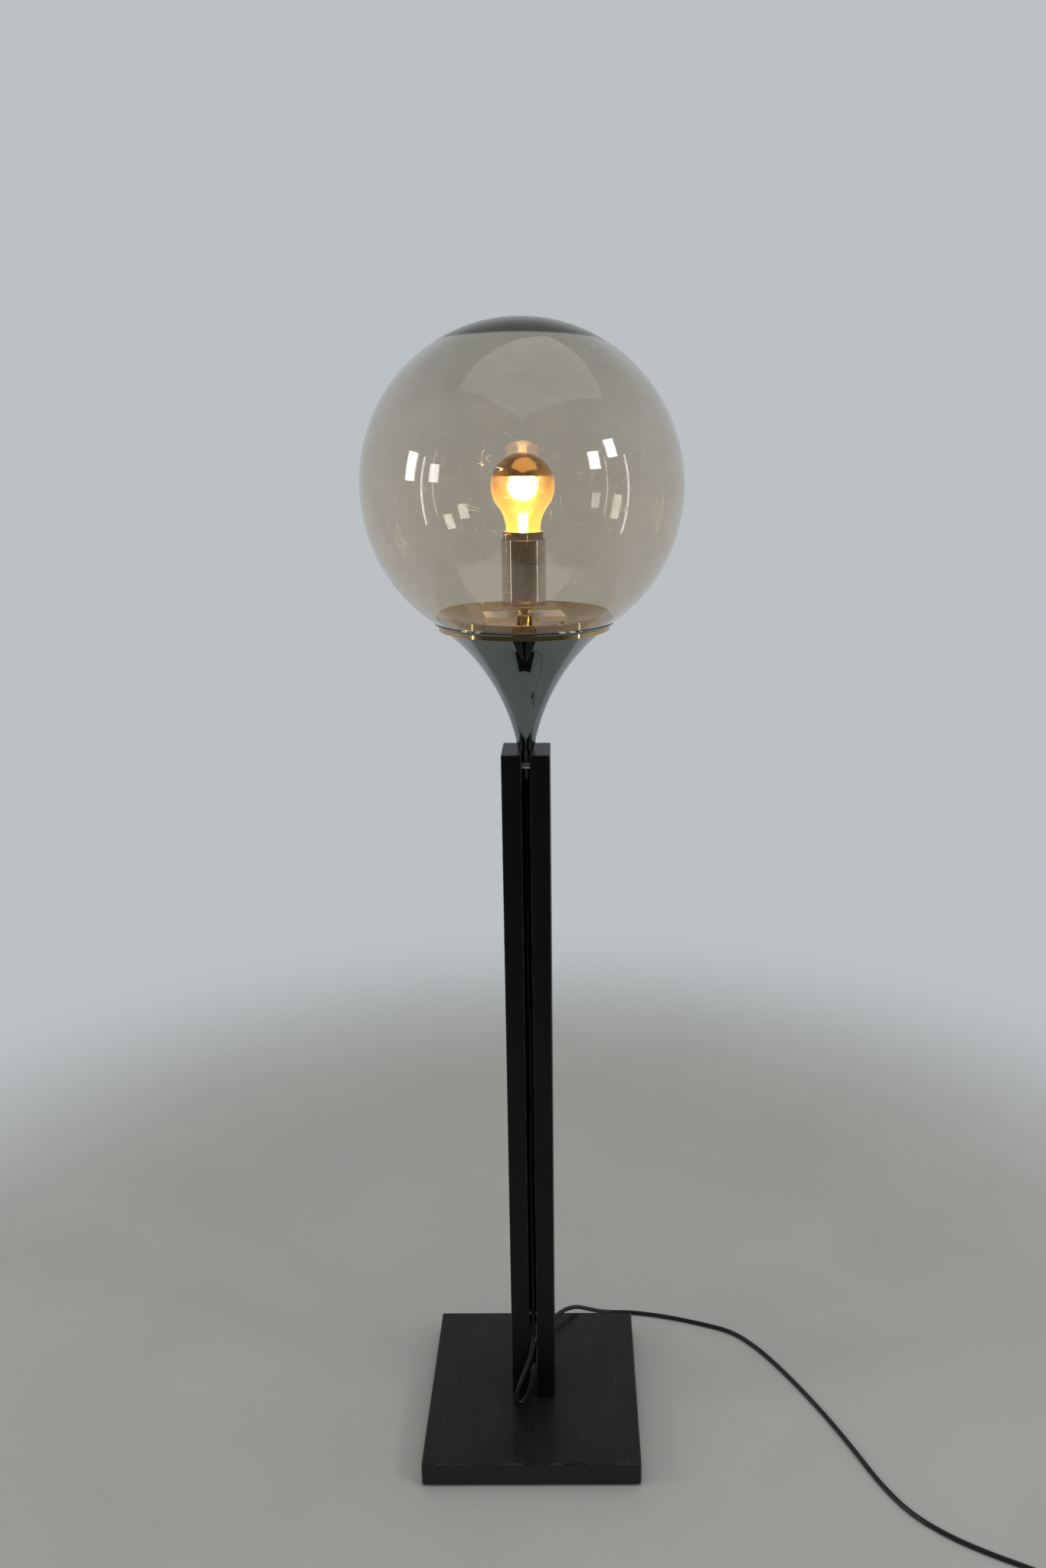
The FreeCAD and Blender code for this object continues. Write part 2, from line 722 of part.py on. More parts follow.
def socket_insert():
    insert = cylinder(HOLDER_INSIDE_R - FACE_GAP, INSERT_Z, INSERT_TOP)
    holes = [
        cylinder(TERMINAL_R + THREAD_GAP, INSERT_Z, INSERT_Z + TERMINAL_L, x)
        for x in (-TERMINAL_X, TERMINAL_X)
    ]
    return cut_all(insert, holes)


def terminal_screws():
    screws = []
    for x in (-TERMINAL_X, TERMINAL_X):
        shank = cylinder(TERMINAL_R, INSERT_Z, INSERT_Z + TERMINAL_L, x)
        screws.append(fuse([shank, cylinder(TERMINAL_HEAD_R, TERMINAL_HEAD_Z, INSERT_Z, x)]))
    return Part.makeCompound(screws)


def contact_spring():
    """An arched strip under the bulb's tip."""
    half_l = CONTACT_SPRING_L / 2
    foot_l = half_l - CONTACT_SPRING_T
    crest = SPRING_TOP - CONTACT_SPRING_T
    outline = [
        arc(at(-half_l, INSERT_TOP), at(0, SPRING_TOP), at(half_l, INSERT_TOP)),
        line(at(half_l, INSERT_TOP), at(foot_l, INSERT_TOP)),
        arc(at(foot_l, INSERT_TOP), at(0, crest), at(-foot_l, INSERT_TOP)),
        line(at(-foot_l, INSERT_TOP), at(-half_l, INSERT_TOP)),
    ]
    strip = Part.Face(Part.Wire(outline)).extrude(Vector(0, CONTACT_SPRING_W, 0))
    strip.translate(Vector(0, -CONTACT_SPRING_W / 2, 0))
    return strip


def socket_thread_shell():
    outer = THREAD_SHELL_R + THREAD_SHELL_WALL
    return pipe(outer, THREAD_SHELL_R, INSERT_TOP, INSERT_TOP + THREAD_SHELL_H)


def socket_ring():
    return pipe(HOLDER_R, HOLDER_INSIDE_R, DOME_TOP, RING_TOP)


# Bulb.
def bulb_body(shrink):
    """The glass's outline as a solid, or its hollow when shrunk."""
    radius = BULB_R - shrink
    centre = at(0, BULB_Z)
    low = math.radians(-BULB_SHOULDER)
    across = math.radians(90 - BULB_SHOULDER) / 2
    shoulder = centre + at(math.cos(low), math.sin(low)) * radius
    neck = at(BULB_NECK_R - shrink, CAP_TOP + BULB_NECK_H)
    mouth_r = CAP_INSIDE_R - FACE_GAP - shrink
    bottom = MOUNT_Z
    return spin([
        arc(centre + at(0, radius), centre + at(math.cos(across), math.sin(across)) * radius, shoulder),
        tangent_arc(shoulder, at(math.sin(low), -math.cos(low)), neck),
        *lines(neck, at(mouth_r, CAP_TOP), at(mouth_r, bottom), at(0, bottom), centre + at(0, radius)),
    ])


def bulb_glass():
    return bulb_body(0).cut(bulb_body(BULB_GLASS_T))


def bulb_mount():
    """The glass foot sealed into the neck, which carries the wires."""
    foot_r = CAP_INSIDE_R - BULB_GLASS_T - 2 * FACE_GAP
    neck_z = MOUNT_Z + foot_r - BULB_MOUNT_R
    return spin(lines(
        at(0, MOUNT_Z),
        at(foot_r, MOUNT_Z),
        at(BULB_MOUNT_R, neck_z),
        at(BULB_MOUNT_R, MOUNT_TOP),
        at(0, MOUNT_TOP),
        at(0, MOUNT_Z),
    ))


def filament_end(side):
    """An end of the filament's loop, on one side of its opening."""
    angle = math.radians(-90 + side * FILAMENT_OPENING / 2)
    return at(math.cos(angle), math.sin(angle)) * FILAMENT_LOOP_R + at(0, BULB_Z)


def bulb_lead_wires():
    wires = []
    for side in (-1, 1):
        foot = at(side * (BULB_MOUNT_R - 2 * LEAD_WIRE_R), MOUNT_TOP)
        wires.append(rod(LEAD_WIRE_R, foot, filament_end(side) - at(0, FACE_GAP + LEAD_WIRE_R)))
    return Part.makeCompound(wires)


def bulb_filament():
    top = at(0, BULB_Z + FILAMENT_LOOP_R)
    return tube([arc(filament_end(1), top, filament_end(-1))], FILAMENT_R, "filament")


def bulb_cap():
    """The screw cap: rounded threads under a plain collar."""
    valley_r = CAP_R - CAP_RIB_DEPTH
    ribs = []
    for k in range(CAP_RIBS):
        low = CAP_Z + k * CAP_PITCH
        ribs.append(arc(at(valley_r, low), at(CAP_R, low + CAP_PITCH / 2), at(valley_r, low + CAP_PITCH)))
    collar_z = CAP_Z + CAP_RIBS * CAP_PITCH
    inner_r = valley_r - CAP_WALL
    return spin([
        *ribs,
        *lines(
            at(valley_r, collar_z),
            at(CAP_R, collar_z),
            at(CAP_R, CAP_TOP),
            at(CAP_INSIDE_R, CAP_TOP),
            at(CAP_INSIDE_R, collar_z + CAP_WALL),
            at(inner_r, collar_z + CAP_WALL),
            at(inner_r, CAP_Z),
            at(valley_r, CAP_Z),
        ),
    ])


def bulb_cap_insulator():
    top_r = CAP_R - CAP_RIB_DEPTH
    return Part.makeCone(TIP_R, top_r, CAP_INSULATOR_H, Vector(0, 0, INSULATOR_Z))


def bulb_contact_tip():
    return cylinder(TIP_R, TIP_Z, INSULATOR_Z)


# Cord inside the lamp, free on the floor, and wound.
def lead_in_post():
    low = FREE_CORD[0][2]
    points = [(0.0, 0.0, STEM_TOP + LEAD_ABOVE_STEM)]
    points += [(x, y, low + share * (POST_TOP - low)) for x, y, share in LEAD_IN_SLOT]
    return tube(route_edges(points, "lead in post"), CORD_R, "lead in post")


def lead_cores():
    """The two cores, from the end of the lead to the terminal screws."""
    low = STEM_TOP + LEAD_ABOVE_STEM
    high = TERMINAL_HEAD_Z
    rise = (high - low) / 3
    cores = []
    for side in (-1, 1):
        near = side * CORE_SPREAD
        far = side * TERMINAL_X
        points = [(near, 0, low), (near, 0, low + rise), (far, 0, high - rise), (far, 0, high)]
        cores.append(tube(route_edges(points, "core"), CORE_R, "core"))
    return Part.makeCompound(cores)


def cord_run():
    return tube(route_edges(FREE_CORD, "free cord"), CORD_R, "free cord")


def coil_station(turn):
    """Place and heading on the coil, which spirals in, climbs a layer and spirals out again."""
    middle = COIL_TURNS / 2
    angle = -math.pi / 2 - 2 * math.pi * turn
    radius = COIL_IN_R + COIL_STEP * abs(turn - middle)
    outward = (turn > middle) - (turn < middle)
    radial = Vector(math.cos(angle), math.sin(angle), 0)
    clockwise = Vector(radial.y, -radial.x, 0)
    share = 0.5 * (1 + outward)
    climb = 0.0 if outward else 2 * (COIL_HIGH_Z - COIL_LOW_Z) * TURN_PARTS / 2
    place = Vector(COIL_X, COIL_Y, COIL_LOW_Z + share * (COIL_HIGH_Z - COIL_LOW_Z)) + radial * radius
    heading = radial * (outward * COIL_STEP) + clockwise * (2 * math.pi * radius) + Vector(0, 0, climb)
    return place, heading.normalize()


def cord_coil():
    """The wound length: off the switch, down to the floor, round and round, and up to the plug."""
    left = Vector(-1, 0, 0)
    slope_x = SWITCH_OUT_X - CORD_END
    stations = [
        (Vector(SWITCH_OUT_X, SWITCH_Y, SWITCH_AXIS_Z), left),
        (Vector(slope_x, SWITCH_Y, SWITCH_AXIS_Z), left),
        (Vector(slope_x - COIL_SLOPE, SWITCH_Y, COIL_LOW_Z), left),
        *[coil_station(k / TURN_PARTS) for k in range(COIL_TURNS * TURN_PARTS + 1)],
        (Vector(PLUG_SLOPE_X, SWITCH_Y, COIL_HIGH_Z), left),
        (Vector(PLUG_SLOPE_X - COIL_SLOPE, SWITCH_Y, PLUG_Z), left),
        (Vector(PLUG_IN_X, SWITCH_Y, PLUG_Z), left),
    ]
    edges = [edge for pair in zip(stations, stations[1:]) for edge in link(*pair)]
    print(f"coil: least gap to itself {least_gap(edges, CORD_R):.2f}")
    return tube(edges, CORD_R, "coil")


def coil_tie():
    """A strap round all turns, opposite the ends of the coil."""
    in_y = COIL_Y + COIL_IN_R + COIL_STEP / 2 - CORD_R
    out_y = COIL_Y + COIL_OUT_R - COIL_STEP / 2 + CORD_R
    low_z = COIL_LOW_Z - CORD_R
    high_z = COIL_HIGH_Z + CORD_R

    def wrap(grow, round_r):
        shape = block(
            (COIL_X - TIE_W / 2, COIL_X + TIE_W / 2),
            (in_y - grow, out_y + grow),
            (low_z - grow, high_z + grow),
        )
        return shape.makeFillet(round_r, edges_along(shape, Vector(1, 0, 0)))

    return wrap(TIE_GAP + TIE_T, TIE_ROUND_R + TIE_T).cut(wrap(TIE_GAP, TIE_ROUND_R))


# Switch.
def switch_block(inset, low, high):
    """The switch's rounded outline between two heights, drawn in by an inset."""
    half_l = SWITCH_L / 2 - inset
    half_w = SWITCH_W / 2 - inset
    shape = block(
        (SWITCH_X - half_l, SWITCH_X + half_l),
        (SWITCH_Y - half_w, SWITCH_Y + half_w),
        (low, high),
    )
    return shape.makeFillet(SWITCH_CORNER_R - inset, edges_along(shape, Vector(0, 0, 1)))


def switch_base():
    shell = switch_block(0, 0, SWITCH_AXIS_Z).cut(
        switch_block(SWITCH_WALL, SWITCH_WALL, SWITCH_AXIS_Z)
    )
    posts = [cylinder(SWITCH_POST_R, 0, SWITCH_AXIS_Z, x, SWITCH_Y) for x in SWITCH_SCREW_XS]
    holes = []
    for x in SWITCH_SCREW_XS:
        holes.append(cylinder(SWITCH_SCREW_R + THREAD_GAP, 0, SWITCH_AXIS_Z, x, SWITCH_Y))
        head_r = SWITCH_SCREW_HEAD_R + THREAD_GAP
        holes.append(cylinder(head_r, 0, SWITCH_SCREW_SINK, x, SWITCH_Y))
    return cut_all(fuse([shell, *posts]), holes)


def switch_cover():
    ceiling = SWITCH_H - SWITCH_WALL
    outside = switch_block(0, SWITCH_AXIS_Z, SWITCH_H)
    top_edges = [e for e in outside.Edges if e.BoundBox.ZMin > SWITCH_H - FACE_GAP]
    shell = outside.makeChamfer(SWITCH_WALL / 2, top_edges)
    shell = shell.cut(switch_block(SWITCH_WALL, SWITCH_AXIS_Z, ceiling))
    half_w = WINDOW_W / 2
    lugs = [
        block(
            (SWITCH_X - LUG_W / 2, SWITCH_X + LUG_W / 2),
            (SWITCH_Y + low, SWITCH_Y + low + LUG_T),
            (ceiling - LUG_DROP, ceiling),
        )
        for low in (-half_w - LUG_T, half_w)
    ]
    posts = [cylinder(SWITCH_POST_R, SWITCH_AXIS_Z, ceiling, x, SWITCH_Y) for x in SWITCH_SCREW_XS]
    window = block(
        (SWITCH_X - WINDOW_L / 2, SWITCH_X + WINDOW_L / 2),
        (SWITCH_Y - half_w, SWITCH_Y + half_w),
        (SWITCH_AXIS_Z, SWITCH_H),
    )
    screw_top = SWITCH_SCREW_SINK + SWITCH_SCREW_L + THREAD_GAP
    holes = [
        cylinder(SWITCH_SCREW_R + THREAD_GAP, SWITCH_AXIS_Z, screw_top, x, SWITCH_Y)
        for x in SWITCH_SCREW_XS
    ]
    pin_hole = bar_y(
        PIN_R + THREAD_GAP, SWITCH_Y - half_w - LUG_T, SWITCH_Y + half_w + LUG_T, SWITCH_X, PIN_Z
    )
    return cut_all(fuse([shell, *lugs, *posts]), [window, pin_hole, *holes])


def rocker_pin():
    reach = WINDOW_W / 2 + LUG_T
    return bar_y(PIN_R, SWITCH_Y - reach, SWITCH_Y + reach, SWITCH_X, PIN_Z)


def switch_rocker():
    """The rocker, pressed down at the end towards the lamp, which is on."""
    half_l = WINDOW_L / 2 - ROCKER_END_GAP
    half_w = WINDOW_W / 2 - ROCKER_SIDE_GAP
    outline = lines(
        at(-half_l, -ROCKER_DROP),
        at(half_l, -ROCKER_DROP),
        at(half_l, ROCKER_RISE),
        at(0, ROCKER_RISE - ROCKER_DIP),
        at(-half_l, ROCKER_RISE),
        at(-half_l, -ROCKER_DROP),
    )
    rocker = Part.Face(Part.Wire(outline)).extrude(Vector(0, 2 * half_w, 0))
    rocker.translate(Vector(SWITCH_X, SWITCH_Y - half_w, PIN_Z))
    rocker.rotate(Vector(SWITCH_X, SWITCH_Y, PIN_Z), Vector(0, 1, 0), ROCKER_TILT)
    bore = bar_y(PIN_R + RUNNING_GAP, SWITCH_Y - half_w, SWITCH_Y + half_w, SWITCH_X, PIN_Z)
    return rocker.cut(bore)


def switch_screws():
    screws = []
    for x in SWITCH_SCREW_XS:
        top = SWITCH_SCREW_SINK + SWITCH_SCREW_L
        head_low = SWITCH_SCREW_SINK - SWITCH_SCREW_HEAD_H
        head = cylinder(SWITCH_SCREW_HEAD_R, head_low, SWITCH_SCREW_SINK, x, SWITCH_Y)
        screws.append(fuse([head, cylinder(SWITCH_SCREW_R, SWITCH_SCREW_SINK, top, x, SWITCH_Y)]))
    return Part.makeCompound(screws)


def switch_contacts():
    strips = [
        block(
            (SWITCH_X - CONTACT_L / 2, SWITCH_X + CONTACT_L / 2),
            (SWITCH_Y + y - CONTACT_W / 2, SWITCH_Y + y + CONTACT_W / 2),
            (SWITCH_WALL, SWITCH_WALL + CONTACT_H),
        )
        for y in (-CONTACT_APART / 2, CONTACT_APART / 2)
    ]
    return Part.makeCompound(strips)


# Plug.
def plug_body():
    """A flat two-pin plug, which widens from the cord's boot to its face."""
    neck_x = PLUG_IN_X - BOOT_L
    wide_x = neck_x - (PLUG_L - PLUG_STRAIGHT)
    face_x = neck_x - PLUG_L
    plan = [
        (neck_x, PLUG_NECK_W / 2),
        (wide_x, PLUG_FACE_W / 2),
        (face_x, PLUG_FACE_W / 2),
        (face_x, -PLUG_FACE_W / 2),
        (wide_x, -PLUG_FACE_W / 2),
        (neck_x, -PLUG_NECK_W / 2),
        (neck_x, PLUG_NECK_W / 2),
    ]
    outline = Part.Wire(lines(*[Vector(x, SWITCH_Y + y, 0) for x, y in plan]))
    body = Part.Face(outline).extrude(Vector(0, 0, PLUG_T))
    body = body.makeFillet(PLUG_EDGE_R, body.Edges)
    return fuse([body, bar_x(BOOT_R, neck_x - PLUG_EDGE_R, PLUG_IN_X, SWITCH_Y, PLUG_Z)])


def plug_pins():
    face_x = PLUG_IN_X - BOOT_L - PLUG_L
    half = PLUG_PIN_SPACING / 2
    pins = [
        bar_x(PLUG_PIN_R, face_x - PLUG_PIN_L, face_x, SWITCH_Y + y, PLUG_Z) for y in (-half, half)
    ]
    return Part.makeCompound(pins)


NODES = {
    "base_glides": base_glides(),
    "base_plate": base_plate(),
    "base_screws": base_screws(),
    "post_board_right": post_board(),
    "post_board_left": mirror_x(post_board()),
    "post_spine": post_spine(),
    "lower_cross_dowel": dowel_bar(0),
    "cross_nut": cross_nut(),
    "stem_tube": stem_tube(),
    "trumpet_cone": trumpet_cone(),
    "reflector_dish": reflector_dish(),
    "strap_spacer": strap_spacer(),
    "clamp_strap": clamp_strap(),
    "socket_coupler": socket_coupler(),
    "glass_globe": glass_globe(),
    "socket_sleeve": socket_sleeve(),
    "socket_locknut": socket_locknut(),
    "socket_dome": socket_dome(),
    "socket_insert": socket_insert(),
    "terminal_screws": terminal_screws(),
    "contact_spring": contact_spring(),
    "socket_thread_shell": socket_thread_shell(),
    "socket_ring": socket_ring(),
    "bulb_glass": bulb_glass(),
    "bulb_mount": bulb_mount(),
    "bulb_lead_wires": bulb_lead_wires(),
    "bulb_filament": bulb_filament(),
    "bulb_cap": bulb_cap(),
    "bulb_cap_insulator": bulb_cap_insulator(),
    "bulb_contact_tip": bulb_contact_tip(),
    "lead_in_post": lead_in_post(),
    "lead_cores": lead_cores(),
    "cord_run": cord_run(),
    "cord_coil": cord_coil(),
    "coil_tie": coil_tie(),
    "switch_base": switch_base(),
    "switch_cover": switch_cover(),
    "switch_rocker": switch_rocker(),
    "rocker_pin": rocker_pin(),
    "switch_screws": switch_screws(),
    "switch_contacts": switch_contacts(),
    "plug_body": plug_body(),
    "plug_pins": plug_pins(),
}

for name, shape in NODES.items():
    if not shape.isValid():
        raise RuntimeError(f"{name} isn't a valid shape")
    shape.exportStep(f"parts/{name}.step")
print(len(NODES), "nodes")
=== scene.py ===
"""Globe floor lamp: the looks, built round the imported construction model.

Lengths are in metres, in the construction model's own frame: X to the right, Y away from the front
of the post and Z up, with the floor at zero.
"""

import json
import math

import bmesh
import bpy
from bpy.props import FloatProperty, FloatVectorProperty, IntProperty, PointerProperty
from mathutils import Matrix, Vector


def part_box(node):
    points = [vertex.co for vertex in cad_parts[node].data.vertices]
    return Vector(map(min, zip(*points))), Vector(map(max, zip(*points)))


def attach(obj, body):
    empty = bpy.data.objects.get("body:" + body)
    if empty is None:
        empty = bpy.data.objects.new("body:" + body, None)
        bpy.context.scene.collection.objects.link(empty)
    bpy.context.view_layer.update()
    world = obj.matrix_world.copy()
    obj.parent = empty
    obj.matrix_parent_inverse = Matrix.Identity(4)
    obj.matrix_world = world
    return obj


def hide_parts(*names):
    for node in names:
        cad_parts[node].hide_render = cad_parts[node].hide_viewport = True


bl_info = {
    "name": "Globe floor lamp",
    "version": (1, 0, 0),
    "blender": (4, 5, 0),
    "location": "3D View > Sidebar > Floor lamp",
    "description": "Builds the pieces, finishes and studio of a glass globe floor lamp",
    "category": "Object",
}

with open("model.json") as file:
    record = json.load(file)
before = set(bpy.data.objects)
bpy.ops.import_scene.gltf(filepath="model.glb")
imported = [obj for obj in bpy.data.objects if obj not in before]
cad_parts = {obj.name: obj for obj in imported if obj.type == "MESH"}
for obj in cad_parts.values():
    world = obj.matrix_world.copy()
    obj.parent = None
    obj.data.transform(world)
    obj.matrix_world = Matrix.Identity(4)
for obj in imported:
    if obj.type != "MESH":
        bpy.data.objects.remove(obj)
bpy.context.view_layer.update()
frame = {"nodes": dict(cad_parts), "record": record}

GLOBE_LOW, GLOBE_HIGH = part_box("glass_globe")
TRUMPET_LOW, TRUMPET_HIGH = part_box("trumpet_cone")
DISH_LOW, DISH_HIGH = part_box("reflector_dish")
SLEEVE_LOW, SLEEVE_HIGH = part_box("socket_sleeve")
BULB_LOW, BULB_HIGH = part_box("bulb_glass")
CAP_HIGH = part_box("bulb_cap")[1]

# Heights where the gold crown ends and where the bulb's neck begins.
CROWN_Z = BULB_HIGH.z - 0.0205
NECK_Z = CAP_HIGH.z + 0.006

# A point of an outline nearer to the axis than this lies on it.
ON_AXIS = 1e-7

# The picture that the camera is set up for, in its own pixels, and where the camera stands.
PICTURE_HEIGHT = 2048.0
PICTURE_SHIFT = -62.0
CAMERA_PLACE = (0.043625, -1.170547, 1.076928)

# The point on the lamp that the flat lights face.
LIT_PLACE = (0.0, 0.0, 0.9)

# Route of the free cord, from the slot to the switch.
FREE_CORD = [
    (0.0002, -0.0190, 0.1120),
    (0.0004, -0.0310, 0.0990),
    (-0.0094, -0.0360, 0.0727),
    (-0.0170, -0.0410, 0.0550),
    (-0.0200, -0.0420, 0.0375),
    (-0.0095, -0.0360, 0.0330),
    (-0.0026, -0.0325, 0.0515),
    (0.0005, -0.0240, 0.0726),
    (0.0004, -0.0030, 0.0800),
    (0.0003, 0.0240, 0.0640),
    (0.0040, 0.0400, 0.0500),
    (0.0095, 0.0620, 0.0410),
    (0.0170, 0.0840, 0.0385),
    (0.0290, 0.1020, 0.0405),
    (0.0470, 0.1165, 0.0365),
    (0.0630, 0.1320, 0.0200),
    (0.0850, 0.1470, 0.0025),
    (0.1200, 0.1470, 0.0025),
    (0.1650, 0.1380, 0.0025),
    (0.2080, 0.1245, 0.0025),
    (0.2430, 0.1110, 0.0025),
    (0.2690, 0.0840, 0.0025),
    (0.2920, 0.0495, 0.0025),
    (0.3140, 0.0100, 0.0025),
    (0.3360, -0.0340, 0.0025),
    (0.3540, -0.0760, 0.0025),
    (0.3700, -0.1170, 0.0025),
    (0.3920, -0.1560, 0.0025),
    (0.4240, -0.1845, 0.0025),
    (0.4610, -0.2060, 0.0025),
    (0.5000, -0.2245, 0.0025),
    (0.5310, -0.2425, 0.0025),
    (0.5385, -0.2840, 0.0025),
    (0.5115, -0.3160, 0.0070),
    (0.4735, -0.3160, 0.0070),
]


# Settings that a user would change.
def length(name, description, default):
    return FloatProperty(
        name=name, description=description, default=default, min=0.0, unit="LENGTH", precision=4
    )


def colour(name, description, default):
    return FloatVectorProperty(
        name=name, description=description, default=default, subtype="COLOR", min=0.0, max=1.0
    )


def amount(name, description, default, **more):
    return FloatProperty(name=name, description=description, default=default, **more)


class LampSizes(bpy.types.PropertyGroup):
    globe_radius: length("Globe radius", "Outside radius of the glass globe", GLOBE_HIGH.x)
    globe_wall: length("Globe wall", "Thickness of the globe's glass", 0.0025)
    globe_lip: length("Globe lip", "Radius of the polished edge round the opening", 0.0009)
    globe_gather: length("Globe top", "Extra glass at the top, where it was drawn off", 0.007)
    globe_gather_angle: amount(
        "Globe top spread", "How far the thick glass spreads from the axis", math.radians(30.0),
        subtype="ANGLE",
    )
    trumpet_foot: length("Trumpet foot", "Radius of the trumpet's foot on the post", 0.0078)
    trumpet_flare: length("Trumpet flare", "Radius of the arc of the trumpet's sheet", 0.1962)
    trumpet_wall: length("Trumpet wall", "Thickness of the trumpet's sheet", 0.0012)
    trumpet_bead: length("Rim bead", "Radius of the bead round the trumpet's rim", 0.001)
    stem_hole: length("Stem hole", "Radius of the holes that the stem passes through", 0.00405)
    dish_bowl: length("Dish bowl", "Radius of the dish's sphere", 0.26)
    dish_wall: length("Dish wall", "Thickness of the dish's sheet", 0.001)
    dish_step: length("Dish step", "Radius of the pressed middle of the dish", 0.05)
    dish_press: length("Dish press", "Depth of the pressed middle of the dish", 0.0005)
    sleeve_round: length("Sleeve edge", "Radius of the sleeve's lower edge", 0.004)
    sleeve_wall: length("Sleeve wall", "Thickness of the sleeve", 0.001)
    bulb_radius: length("Bulb radius", "Radius of the bulb's glass", BULB_HIGH.x)
    bulb_neck: length("Bulb neck", "Radius of the bulb's neck", 0.0162)
    bulb_wall: length("Bulb wall", "Thickness of the bulb's glass", 0.0008)
    bulb_crown: length("Crown depth", "Height of the gold crown on the bulb", BULB_HIGH.z - CROWN_Z)
    filament_loop: length("Filament loop", "Radius of the filament's loop", 0.009)
    cord_width: length("Cord", "Diameter of the cord", 0.005)
    turns: IntProperty(
        name="Turns", description="Segments round a turned piece", default=192, min=24
    )


class LampColours(bpy.types.PropertyGroup):
    glass: colour("Smoked glass", "Tint of the globe's glass", (0.74, 0.715, 0.66))
    amber: colour("Bulb glass", "Tint of the bulb's glass", (1.0, 0.76, 0.42))
    crown: colour("Gold crown", "Mirror on the bulb's crown", (0.95, 0.70, 0.30))
    filament: colour("Filament", "Light of the filament", (1.0, 0.66, 0.30))
    # Painted shade: the trumpet's tint is far darker than real chrome, to paint in the dark room
    # that the chrome reflects.
    trumpet: colour("Trumpet", "Chrome of the trumpet", (0.21, 0.235, 0.235))
    # Painted light: the dish's tint is gold, to paint in the warm bulb light that the chrome
    # reflects.
    dish: colour("Dish", "Chrome of the dish", (0.56, 0.38, 0.18))
    sleeve: colour("Sleeve", "Nickel of the sleeve", (0.60, 0.55, 0.50))
    wood: colour("Stained wood", "Stain of the base and post", (0.004, 0.004, 0.0042))
    cord: colour("Cord", "Sheath of the cord", (0.007, 0.007, 0.008))


class StudioSettings(bpy.types.PropertyGroup):
    floor: colour("Floor", "Colour of the floor", (0.36, 0.37, 0.355))
    backdrop: colour("Backdrop", "Colour behind the lamp", (0.50, 0.53, 0.55))
    fill: amount("Fill", "Strength of the soft fill light", 0.5, min=0.0)
    windows: amount("Windows", "Power of each pane of light", 7.0, min=0.0, unit="POWER")
    ceiling: amount("Ceiling", "Power of the soft light overhead", 22.0, min=0.0, unit="POWER")
    lamp_light: amount("Lamp light", "Power of the lamp's own light", 3.0, min=0.0, unit="POWER")
    pitch: amount("Camera pitch", "Tilt of the camera below level", 0.2771, subtype="ANGLE")
    roll: amount("Camera roll", "Turn of the camera on its axis", -0.0031, subtype="ANGLE")
    focal: amount("Focal length", "Focal length, in pixels of the picture", 1600.454)


# Shader nodes.
class Nodes:
    """Adds nodes to a tree and links them."""

    def __init__(self, tree):
        self.tree = tree

    def add(self, kind, inputs=None, **settings):
        node = self.tree.nodes.new(kind)
        for name, value in settings.items():
            setattr(node, name, value)
        for name, value in (inputs or {}).items():
            socket = node.inputs[name]
            if isinstance(value, bpy.types.NodeSocket):
                self.tree.links.new(value, socket)
            else:
                socket.default_value = value
        return node

    def maths(self, operation, first, second=0.0, clamp=False):
        inputs = {0: first, 1: second}
        node = self.add("ShaderNodeMath", inputs, operation=operation, use_clamp=clamp)
        return node.outputs[0]

    def noise(self, vector, scale, detail=4.0, roughness=0.55):
        inputs = {"Vector": vector, "Scale": scale, "Detail": detail, "Roughness": roughness}
        return self.add("ShaderNodeTexNoise", inputs).outputs["Fac"]

    def spread(self, value, low, high, new_low=0.0, new_high=1.0):
        inputs = {"From Min": low, "From Max": high, "To Min": new_low, "To Max": new_high}
        return self.add("ShaderNodeMapRange", {"Value": value, **inputs}).outputs["Result"]

    def eased(self, value, low, high, easing):
        inputs = {"Value": value, "From Min": low, "From Max": high}
        node = self.add("ShaderNodeMapRange", inputs, interpolation_type=easing)
        return node.outputs["Result"]

    def scaled(self, vector, factor):
        node = self.add("ShaderNodeVectorMath", {0: vector, "Scale": factor}, operation="SCALE")
        return node.outputs[0]

    def parts(self, vector):
        return self.add("ShaderNodeSeparateXYZ", {0: vector}).outputs

    def effect(self, name, inputs):
        """One of the shared effects, placed with its own values."""
        return self.add("ShaderNodeGroup", inputs, node_tree=shared_group(name)).outputs

    def blend(self, factor, first, second):
        """A mix of two colours, each of them a socket or (red, green, blue)."""
        inputs = {0: factor, 6: first, 7: second}
        for place, shade in inputs.items():
            if isinstance(shade, tuple):
                inputs[place] = (*shade, 1.0)
        return self.add("ShaderNodeMix", inputs, data_type="RGBA").outputs[2]


# Effects that more than one material uses.
def grain(nodes, given):
    """Straight fine wood grain: long fibres, open pores and slow changes of tone."""
    place = given["Place"]
    fibres = nodes.noise(place, 1.0, detail=8.0, roughness=0.7)
    pores = nodes.noise(nodes.scaled(place, 2.3), 1.0, detail=2.0, roughness=0.4)
    tone = nodes.noise(nodes.scaled(place, 0.07), 1.0, detail=2.0)
    return (
        nodes.spread(fibres, 0.3, 0.7),
        nodes.spread(pores, 0.6, 0.68),
        nodes.spread(tone, 0.35, 0.65),
    )


def marks(nodes, given):
    """Handling marks on polish: cloudy smears and hairline scratches."""
    place, scratch_size = given["Place"], given["Scratch Size"]
    smears = nodes.noise(place, given["Size"], detail=5.0, roughness=0.6)
    curves = nodes.noise(place, scratch_size, detail=0.0)
    off_curve = nodes.maths("ABSOLUTE", nodes.maths("SUBTRACT", curves, 0.5))
    where = nodes.noise(place, nodes.maths("MULTIPLY", scratch_size, 1.7), detail=0.0)
    hair = nodes.spread(off_curve, 0.004, 0.001)
    scratches = nodes.maths("MULTIPLY", hair, nodes.spread(where, 0.58, 0.64))
    return nodes.spread(smears, 0.42, 0.72), scratches


